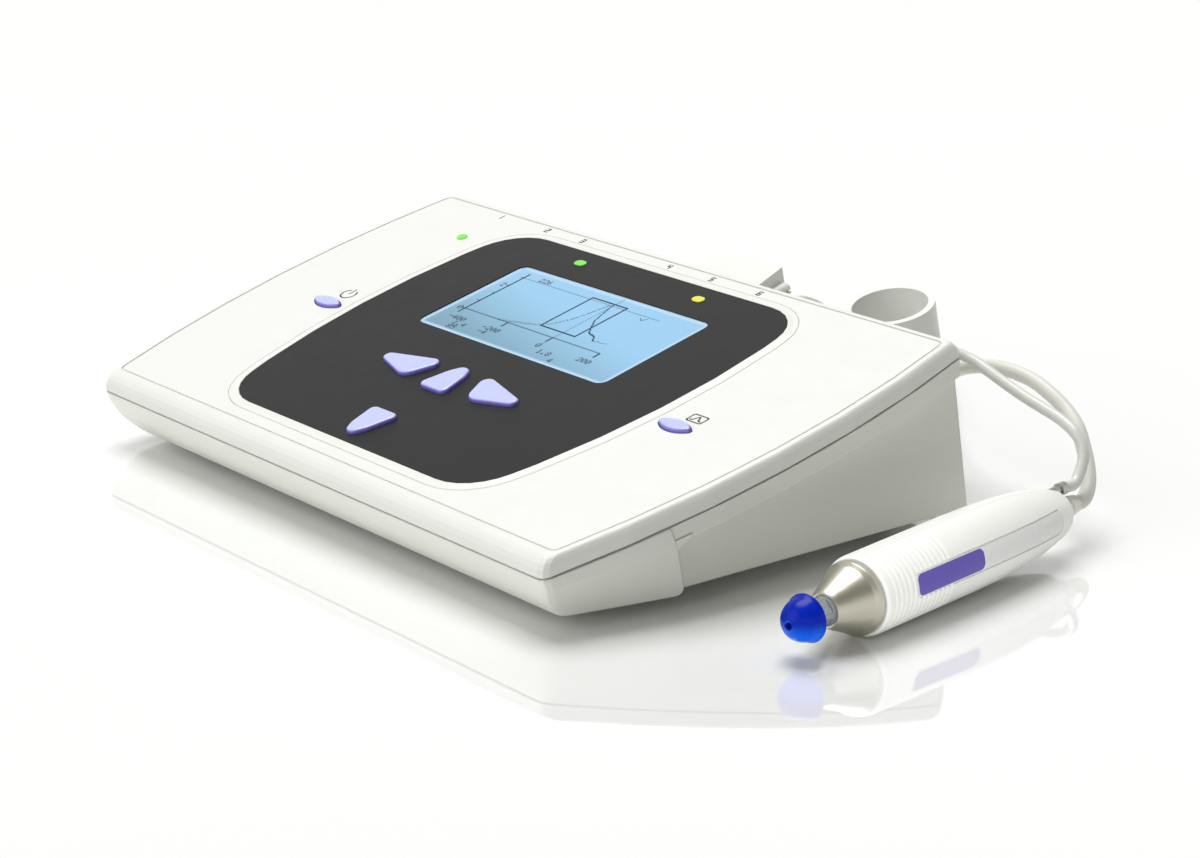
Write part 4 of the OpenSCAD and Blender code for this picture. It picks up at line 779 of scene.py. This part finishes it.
def makeGripShell(name, sign, replaced, sunk):
    c = gripSetup
    stations = gripStations()
    verts, faces = [], []
    top = 90 - math.degrees(c["seamGap"] / gripRadius(c["seamAt"]))
    tilt = -c["labelTurn"] if sunk else 0
    sides, middle = c["sideSteps"], c["labelSteps"]
    for s in stations:
        r = gripRadius(s)
        inside = c["labelFrom"] - 1e-6 <= s <= c["labelTo"] + 1e-6
        edge = math.degrees(math.asin(labelHalfWidth(s) / r))
        wall = edge + math.degrees(c["labelWall"] / r)
        turns = [-top + (tilt - wall + top) * k / sides for k in range(sides + 1)]
        turns += [tilt - edge + 2 * edge * k / middle for k in range(middle + 1)]
        turns += [tilt + wall + (top - tilt - wall) * k / sides for k in range(sides + 1)]
        for k, turn in enumerate(turns):
            onLabel = sunk and inside and sides < k <= sides + middle + 1
            deep = c["labelDeep"] if onLabel else grooveDepth(s, turn - tilt)
            a = math.radians(turn)
            q = (r - deep) * math.cos(a), (r - deep) * math.sin(a)
            verts.append(fromProbe(sign * q[0], q[1], s))
    across = len(turns)
    outerCount = len(verts)
    for s in stations:
        r = max(c["leastInside"], gripRadius(s) - c["wall"])
        for k in range(across):
            a = math.radians(-top + 2 * top * k / (across - 1))
            verts.append(fromProbe(sign * r * math.cos(a), r * math.sin(a), s))
    rows = len(stations)
    for j in range(rows - 1):
        for k in range(across - 1):
            a = j * across + k
            faces.append((a, a + 1, a + across + 1, a + across))
            b = outerCount + a
            faces.append((b, b + across, b + across + 1, b + 1))
        for k in (0, across - 1):
            a, b = j * across + k, outerCount + j * across + k
            quad = (a, a + across, b + across, b)
            faces.append(quad if k == 0 else tuple(reversed(quad)))
    for j in (0, rows - 1):
        for k in range(across - 1):
            a, b = j * across + k, outerCount + j * across + k
            quad = (a, b, b + 1, a + 1)
            faces.append(quad if j == 0 else tuple(reversed(quad)))
    if sign > 0:
        faces = [tuple(reversed(f)) for f in faces]
    addPiece(name, verts, faces, "gripWhite", replaced=(replaced,), crease=28)


# The label in the recess: a pale plate and a plain violet band on it
plateSetup = {
    "labelPlate": {"finish": "labelPale", "slot": "label_silver", "from": 14.35, "to": 91.1, "half": 3.6,
                   "corner": 2.2, "lift": -0.12, "replaces": ("handle_label",)},
    "labelBand": {"finish": "labelViolet", "slot": "label_violet", "from": 14.8, "to": 46.5, "half": 3.3,
                  "corner": 1.9, "lift": -0.06, "replaces": ()},
    "underGap": 0.02, "cornerSteps": 6, "midSteps": 12, "across": 8,
}


def makeLabelPlate(name):
    c, plate = plateSetup, plateSetup[name]
    first, last, half, corner = (plate[k] for k in ("from", "to", "half", "corner"))
    ends = cornerRun(corner, c["cornerSteps"])
    steps = [first + run for run in ends]
    straight = last - first - 2 * corner
    steps += [first + corner + straight * k / c["midSteps"] for k in range(1, c["midSteps"])]
    steps += [last - run for run in reversed(ends)]
    columns = c["across"] + 1
    turned = math.radians(gripSetup["labelTurn"])
    verts, faces = [], []
    for level in (plate["lift"], c["underGap"] - gripSetup["labelDeep"]):
        for s in steps:
            r = gripRadius(s)
            inside = min(s - first, last - s)
            width = half
            if inside < corner:
                width = half - corner + math.sqrt(max(0, corner ** 2 - (corner - inside) ** 2))
            for k in range(columns):
                a = math.asin((-width + 2 * width * k / c["across"]) / r) - turned
                verts.append(fromProbe((r + level) * math.cos(a), (r + level) * math.sin(a), s))
    rows = len(steps)
    layer = rows * columns
    for j in range(rows - 1):
        for k in range(c["across"]):
            a = j * columns + k
            faces.append((a, a + columns, a + columns + 1, a + 1))
            faces.append((layer + a, layer + a + 1, layer + a + columns + 1, layer + a + columns))
        for k in (0, c["across"]):
            a = j * columns + k
            quad = (a, layer + a, layer + a + columns, a + columns)
            faces.append(quad if k == 0 else tuple(reversed(quad)))
    for j in (0, rows - 1):
        for k in range(c["across"]):
            a = j * columns + k
            quad = (a, a + 1, layer + a + 1, layer + a)
            faces.append(quad if j == 0 else tuple(reversed(quad)))
    addPiece(name, verts, faces, plate["finish"], replaced=plate["replaces"])


makeGripShell("handleRightShell", 1, "handle_right_shell", True)
makeGripShell("handleLeftShell", -1, "handle_left_shell", False)
makeLabelPlate("labelPlate")
makeLabelPlate("labelBand")
print("grip made")

# The ear tip: a soft mushroom on its short stem
earSetup = {
    "rear": -21.0, "rim": 7.4, "seat": 2.55, "neck": 3.5, "turns": 64,
    "skirt": [(3.7, 1.5), (5.3, 1.3), (6.8, 0.55)],
    "lip": 0.32, "lipBack": 0.85, "lipAngles": (-80, -40, 0),
    "dome": [(0.35, 1.35), (0.62, 1.9), (0.78, 2.6), (0.95, 3.5), (1.25, 4.5), (1.75, 5.6), (2.5, 6.7),
             (3.4, 7.6), (4.4, 8.25), (5.3, 8.6)],
    "front": 0.35, "bore": 1.1, "boreLip": ((0.35, 0.02), (0.0, 0.25)), "boreTo": 6.4, "seatTo": 6.2,
}


def makeEarTip():
    c = earSetup
    z = c["rear"]
    profile = [(c["seat"], z), (c["neck"], z)] + [(r, z - q) for r, q in c["skirt"]]
    for angle in c["lipAngles"]:
        a = math.radians(angle)
        lipRadius = c["rim"] - c["lip"] + c["lip"] * math.cos(a)
        profile.append((lipRadius, z - c["lipBack"] - c["lip"] * math.sin(a)))
    profile += [(c["rim"] - drop, z - q) for drop, q in c["dome"]]
    front = z - c["dome"][-1][1] - c["front"]
    profile += [(c["bore"] + r, front + q) for r, q in c["boreLip"]]
    profile += [(c["bore"], z - c["boreTo"]), (c["seat"], z - c["seatTo"])]
    rings = []
    n = c["turns"]
    for i in range(n):
        a = 2 * math.pi * i / n
        rings.append([fromProbe(r * math.cos(a), r * math.sin(a), q) for r, q in profile])
    m = len(profile)
    verts = [v for ring in rings for v in ring]
    faces = []
    for i in range(n):
        for j in range(m):
            a, b = i * m + j, ((i + 1) % n) * m + j
            k = (j + 1) % m
            faces.append((a, b, ((i + 1) % n) * m + k, i * m + k))
    addPiece("earTipDome", verts, faces, "tipBlue", "ear_tip", ("ear_tip",), 35)
    print("ear tip made")


makeEarTip()

# The probe's lead: a cable and an air tube, from the handle's tail to the console's rear.
# The middle points are the source's own, but for the cable's 13th to 17th, which lie 2 to 7 mm off them.
cableRoute = {
    "diameter": 5.0,
    "start": fromProbe(0, 0, layout["handleLength"] + 4.02),
    "second": fromProbe(0, 0, layout["handleLength"] + 9),
    "free": [(158.6, 193, 17), (154.7, 197, 21.5), (150, 200, 26.5), (145, 202.5, 31.3), (138, 205, 35),
             (130, 206, 38.5), (121, 207, 41), (111, 207, 42), (100, 207, 41), (89, 208, 37.5), (78, 212, 31),
             (69, 221, 23), (59, 233, 15), (46, 248, 8.5), (32, 264, 5), (18, 276, 3.8), (1, 283, 3.6),
             (-18, 284, 3.6), (-42, 283, 3.6)],
    "coil": {"at": (-66, 247), "radius": 36, "turns": 6.5, "from": 90, "way": 1, "pitch": 5.6, "lead": 6},
    "plug": [(0, 206.2, 37.2), (-0.5, 210.5, 32.7), (-3, 215, 27.6), (-8, 219, 22.5), (-16, 221.5, 17.8),
             (-26, 221, 13.9), (-37, 217, 11), (-46.5, 212.8, 9.6), (-53.5, 211, 9.2)],
    "boot": {"v": 194, "n": -14, "reach": 16.02, "droop": 60},
}
tubeRoute = {
    "diameter": 3.8,
    "start": fromProbe(0, 7, 104.02),
    "second": fromProbe(0, 7, 110),
    "free": [(160.5, 186.5, 24.6), (159.3, 189, 28), (157, 190.5, 31.5), (153, 191, 34.5), (147, 192, 36.5),
             (139, 193, 38), (130, 194, 39.5), (118.5, 196, 41.6), (109, 198.2, 43.2), (99, 199.6, 45),
             (87.5, 200.8, 44.8), (77, 204, 40), (68, 209, 31.5), (59, 214, 21), (49, 216.5, 11),
             (37, 216, 5), (25, 215, 3)],
    "coil": {"at": (8, 245), "radius": 30, "turns": 8.75, "from": -90, "way": -1, "pitch": 4.35, "lead": 5},
    "plug": [(25.8, 192, 50.2), (26.3, 199, 48), (28, 206, 43), (31, 214, 34.5), (34, 220.5, 25),
             (36.4, 226, 15.8), (37.7, 231, 9.8), (38, 235.8, 7.35)],
    "end": fromSlope(layout["airX"], layout["rearWall"] + 17.02, -layout["socketDrop"]),
    "beforeEnd": fromSlope(layout["airX"], layout["rearWall"] + 23.5, -layout["socketDrop"]),
}


# A spiral in on the lower layer, up in half a turn, and out on the upper layer, with straight ends
coilSetup = {"base": 1.1, "perTurn": 40, "climbFor": 0.5, "pull": 0.25}


def coilLine(coil, diameter):
    c = coilSetup
    x, y = coil["at"]
    base = c["base"] + diameter / 2
    inner = (coil["turns"] - c["climbFor"]) / 2
    outward = inner + c["climbFor"]
    line = []
    for i in range(round(coil["turns"] * c["perTurn"]) + 1):
        t = i / c["perTurn"]
        climb = 0 if t <= inner else 1 if t >= outward else (t - inner) / c["climbFor"]
        inward = t if t <= inner else coil["turns"] - t if t >= outward else inner
        r = coil["radius"] - coil["pitch"] * (inward + c["pull"] * math.sin(math.pi * climb))
        a = math.radians(coil["from"] + coil["way"] * 360 * t)
        line.append(fromCase(x + r * math.cos(a), y + r * math.sin(a), base + coil["pitch"] * climb))
    a0 = math.radians(coil["from"])
    a1 = math.radians(coil["from"] + coil["way"] * 360 * coil["turns"])
    lead = coil["way"] * coil["lead"] / 1000
    before = line[0] + lead * Vector((math.sin(a0), -math.cos(a0), 0))
    after = line[-1] + lead * Vector((-math.sin(a1), math.cos(a1), 0))
    return [before] + line + [after]


def smoothLine(points, steps=6):
    ends = [points[0] * 2 - points[1]] + points + [points[-1] * 2 - points[-2]]
    line = []
    for i in range(1, len(ends) - 2):
        p0, p1, p2, p3 = ends[i - 1:i + 3]
        t1 = max(1e-6, (p1 - p0).length) ** 0.5
        t2 = t1 + max(1e-6, (p2 - p1).length) ** 0.5
        t3 = t2 + max(1e-6, (p3 - p2).length) ** 0.5
        for k in range(steps):
            t = t1 + (t2 - t1) * k / steps
            a1 = p0 * ((t1 - t) / t1) + p1 * (t / t1)
            a2 = p1 * ((t2 - t) / (t2 - t1)) + p2 * ((t - t1) / (t2 - t1))
            a3 = p2 * ((t3 - t) / (t3 - t2)) + p3 * ((t - t2) / (t3 - t2))
            b1 = a1 * ((t2 - t) / t2) + a2 * (t / t2)
            b2 = a2 * ((t3 - t) / (t3 - t1)) + a3 * ((t - t1) / (t3 - t1))
            line.append(b1 * ((t2 - t) / (t2 - t1)) + b2 * ((t - t1) / (t2 - t1)))
    return line + [points[-1]]


def lineLength(line):
    return sum((b - a).length for a, b in zip(line, line[1:]))


def makeCordCurve(name, line, diameter, finish):
    data = bpy.data.curves.new(name, "CURVE")
    data.dimensions = "3D"
    data.bevel_depth = diameter / 2000
    data.bevel_resolution = 5
    data.use_fill_caps = True
    spline = data.splines.new("POLY")
    spline.points.add(len(line) - 1)
    for point, place in zip(spline.points, line):
        point.co = (*place, 1)
    spline.use_smooth = True
    data.materials.append(finishes[finish])
    cord = bpy.data.objects.new(name, data)
    bpy.context.scene.collection.objects.link(cord)
    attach(cord, rootBody)
    return cord


def leadLine(c, plugStart):
    coil = coilLine(c["coil"], c["diameter"])
    free = smoothLine([c["start"], c["second"]] + [fromCase(*p) for p in c["free"]] + [coil[0]])
    plug = smoothLine(plugStart + [fromCase(*p) for p in c["plug"]] + [coil[-1]])
    return free[:-1] + coil + plug[-2::-1]


def makeLead():
    c, t = cableRoute, tubeRoute
    boot = c["boot"]
    droop = math.radians(boot["droop"])
    reach = boot["reach"]
    bootEnd = fromSlope(0, boot["v"] + reach * math.cos(droop), boot["n"] - reach * math.sin(droop))
    cableLine = leadLine(c, [bootEnd])
    cable = makeCordCurve("probeCable", cableLine, c["diameter"], "cableSheath")
    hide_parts("probe_cable", "cable_coil")
    tubeLine = leadLine(t, [t["end"], t["beforeEnd"]])
    tube = makeCordCurve("airTube", tubeLine, t["diameter"], "tubeVinyl")
    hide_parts("air_tube", "air_coil")
    print("lead made: cable", round(lineLength(cableLine), 3), "m, tube", round(lineLength(tubeLine), 3), "m")


makeLead()

# Floor, backdrop and light. The camera sees the world at strength 1. Mirrors see it dimmer on the side
# that the photograph's camera stands on, and overhead, which keeps the dark panel dark.
studio = {
    "worldLight": 0.13, "worldTint": (0.97, 1.0, 0.86, 1), "white": (1, 1, 1, 1),
    "backdropToward": (-0.76, 0.65), "mirrorTurn": (-0.35, 0.25), "mirrorDim": 0.22,
    "horizonBand": (0.42, 0.30), "overheadBand": (0.40, 0.60), "overheadDim": 0.6,
    "floorTone": 0.93, "floorRoughness": 0.02, "floorIndex": 2.9, "floorSize": 12.0,
    "suns": {"keySun": ((-0.30, 0.15, 0.93), 2.50, 40), "fillSun": ((-0.20, -0.82, 0.50), 1.18, 60),
             "sideSun": ((0.80, -0.50, 0.30), 0.12, 60)},
    "probeLamp": {"at": (330, -10, 70), "toward": (176, 85, 14), "power": 0.19, "size": (0.20, 0.10),
                  "lights": ("handleRightShell", "handleLeftShell", "labelPlate", "labelBand", "earTipDome",
                             "nose_cone", "probe_tip", "air_barb", "handle_boot")},
}


def makeWorld(c):
    world = bpy.data.worlds.new("studioWorld")
    bpy.context.scene.world = world
    world.use_nodes = True
    tree = world.node_tree
    background = tree.nodes["Background"]
    path = tree.nodes.new("ShaderNodeLightPath")
    split = tree.nodes.new("ShaderNodeSeparateXYZ")
    tree.links.new(objectCoords(tree, "Generated"), split.inputs[0])
    aheadX = mathNode(tree, "MULTIPLY", split.outputs["X"], c["backdropToward"][0])
    aheadY = mathNode(tree, "MULTIPLY", split.outputs["Y"], c["backdropToward"][1])
    side = rangeNode(tree, mathNode(tree, "ADD", aheadX, aheadY), *c["mirrorTurn"], c["mirrorDim"])
    horizon = rangeNode(tree, split.outputs["Z"], *c["horizonBand"])
    around = mathNode(tree, "MAXIMUM", side, horizon)
    overhead = rangeNode(tree, split.outputs["Z"], *c["overheadBand"], 1.0, c["overheadDim"])
    mirror = mathNode(tree, "MULTIPLY", around, overhead)
    glossy = mathNode(tree, "MULTIPLY", path.outputs["Is Glossy Ray"], mirror)
    mirrored = mathNode(tree, "MAXIMUM", glossy, path.outputs["Is Transmission Ray"])
    seen = mathNode(tree, "MAXIMUM", path.outputs["Is Camera Ray"], mirrored)
    tree.links.new(mixTone(tree, seen, c["worldTint"], c["white"]), background.inputs["Color"])
    strength = rangeNode(tree, seen, 0.0, 1.0, c["worldLight"], 1.0, False)
    tree.links.new(strength, background.inputs["Strength"])


def makeFloor(c):
    s = c["floorSize"]
    mesh = bpy.data.meshes.new("studioFloor")
    mesh.from_pydata([(-s, -s, 0), (s, -s, 0), (s, s, 0), (-s, s, 0)], [], [(0, 1, 2, 3)])
    floor = bpy.data.objects.new("studioFloor", mesh)
    bpy.context.scene.collection.objects.link(floor)
    mat = bpy.data.materials.new("studioFloor")
    mat.use_nodes = True
    shader = mat.node_tree.nodes["Principled BSDF"]
    shader.inputs["Base Color"].default_value = (c["floorTone"],) * 3 + (1,)
    shader.inputs["Roughness"].default_value = c["floorRoughness"]
    shader.inputs["IOR"].default_value = c["floorIndex"]
    mesh.materials.append(mat)


def addLamp(name, data, toward):
    lamp = bpy.data.objects.new(name, data)
    bpy.context.scene.collection.objects.link(lamp)
    lamp.rotation_euler = toward.to_track_quat("Z", "Y").to_euler()
    return lamp


def makeSuns(c):
    for name, (toward, strength, angle) in c["suns"].items():
        data = bpy.data.lights.new(name, "SUN")
        data.energy = strength
        data.angle = math.radians(angle)
        addLamp(name, data, Vector(toward))


def makeProbeLamp(c):
    data = bpy.data.lights.new("probeLamp", "AREA")
    data.shape = "RECTANGLE"
    data.size, data.size_y = c["size"]
    data.energy = c["power"]
    at = fromCase(*c["at"])
    lamp = addLamp("probeLamp", data, at - fromCase(*c["toward"]))
    lamp.location = at
    lamp.visible_camera = False
    lamp.visible_glossy = False
    probeLit = bpy.data.collections.new("probeLit")  # the only pieces that this lamp lights
    for name in c["lights"]:
        probeLit.objects.link(cadNodes[name] if name in cadNodes else bpy.data.objects[name])
    lamp.light_linking.receiver_collection = probeLit


bpy.context.scene.view_settings.view_transform = "Standard"
makeWorld(studio)
makeFloor(studio)
makeSuns(studio)
makeProbeLamp(studio["probeLamp"])
print("studio made")
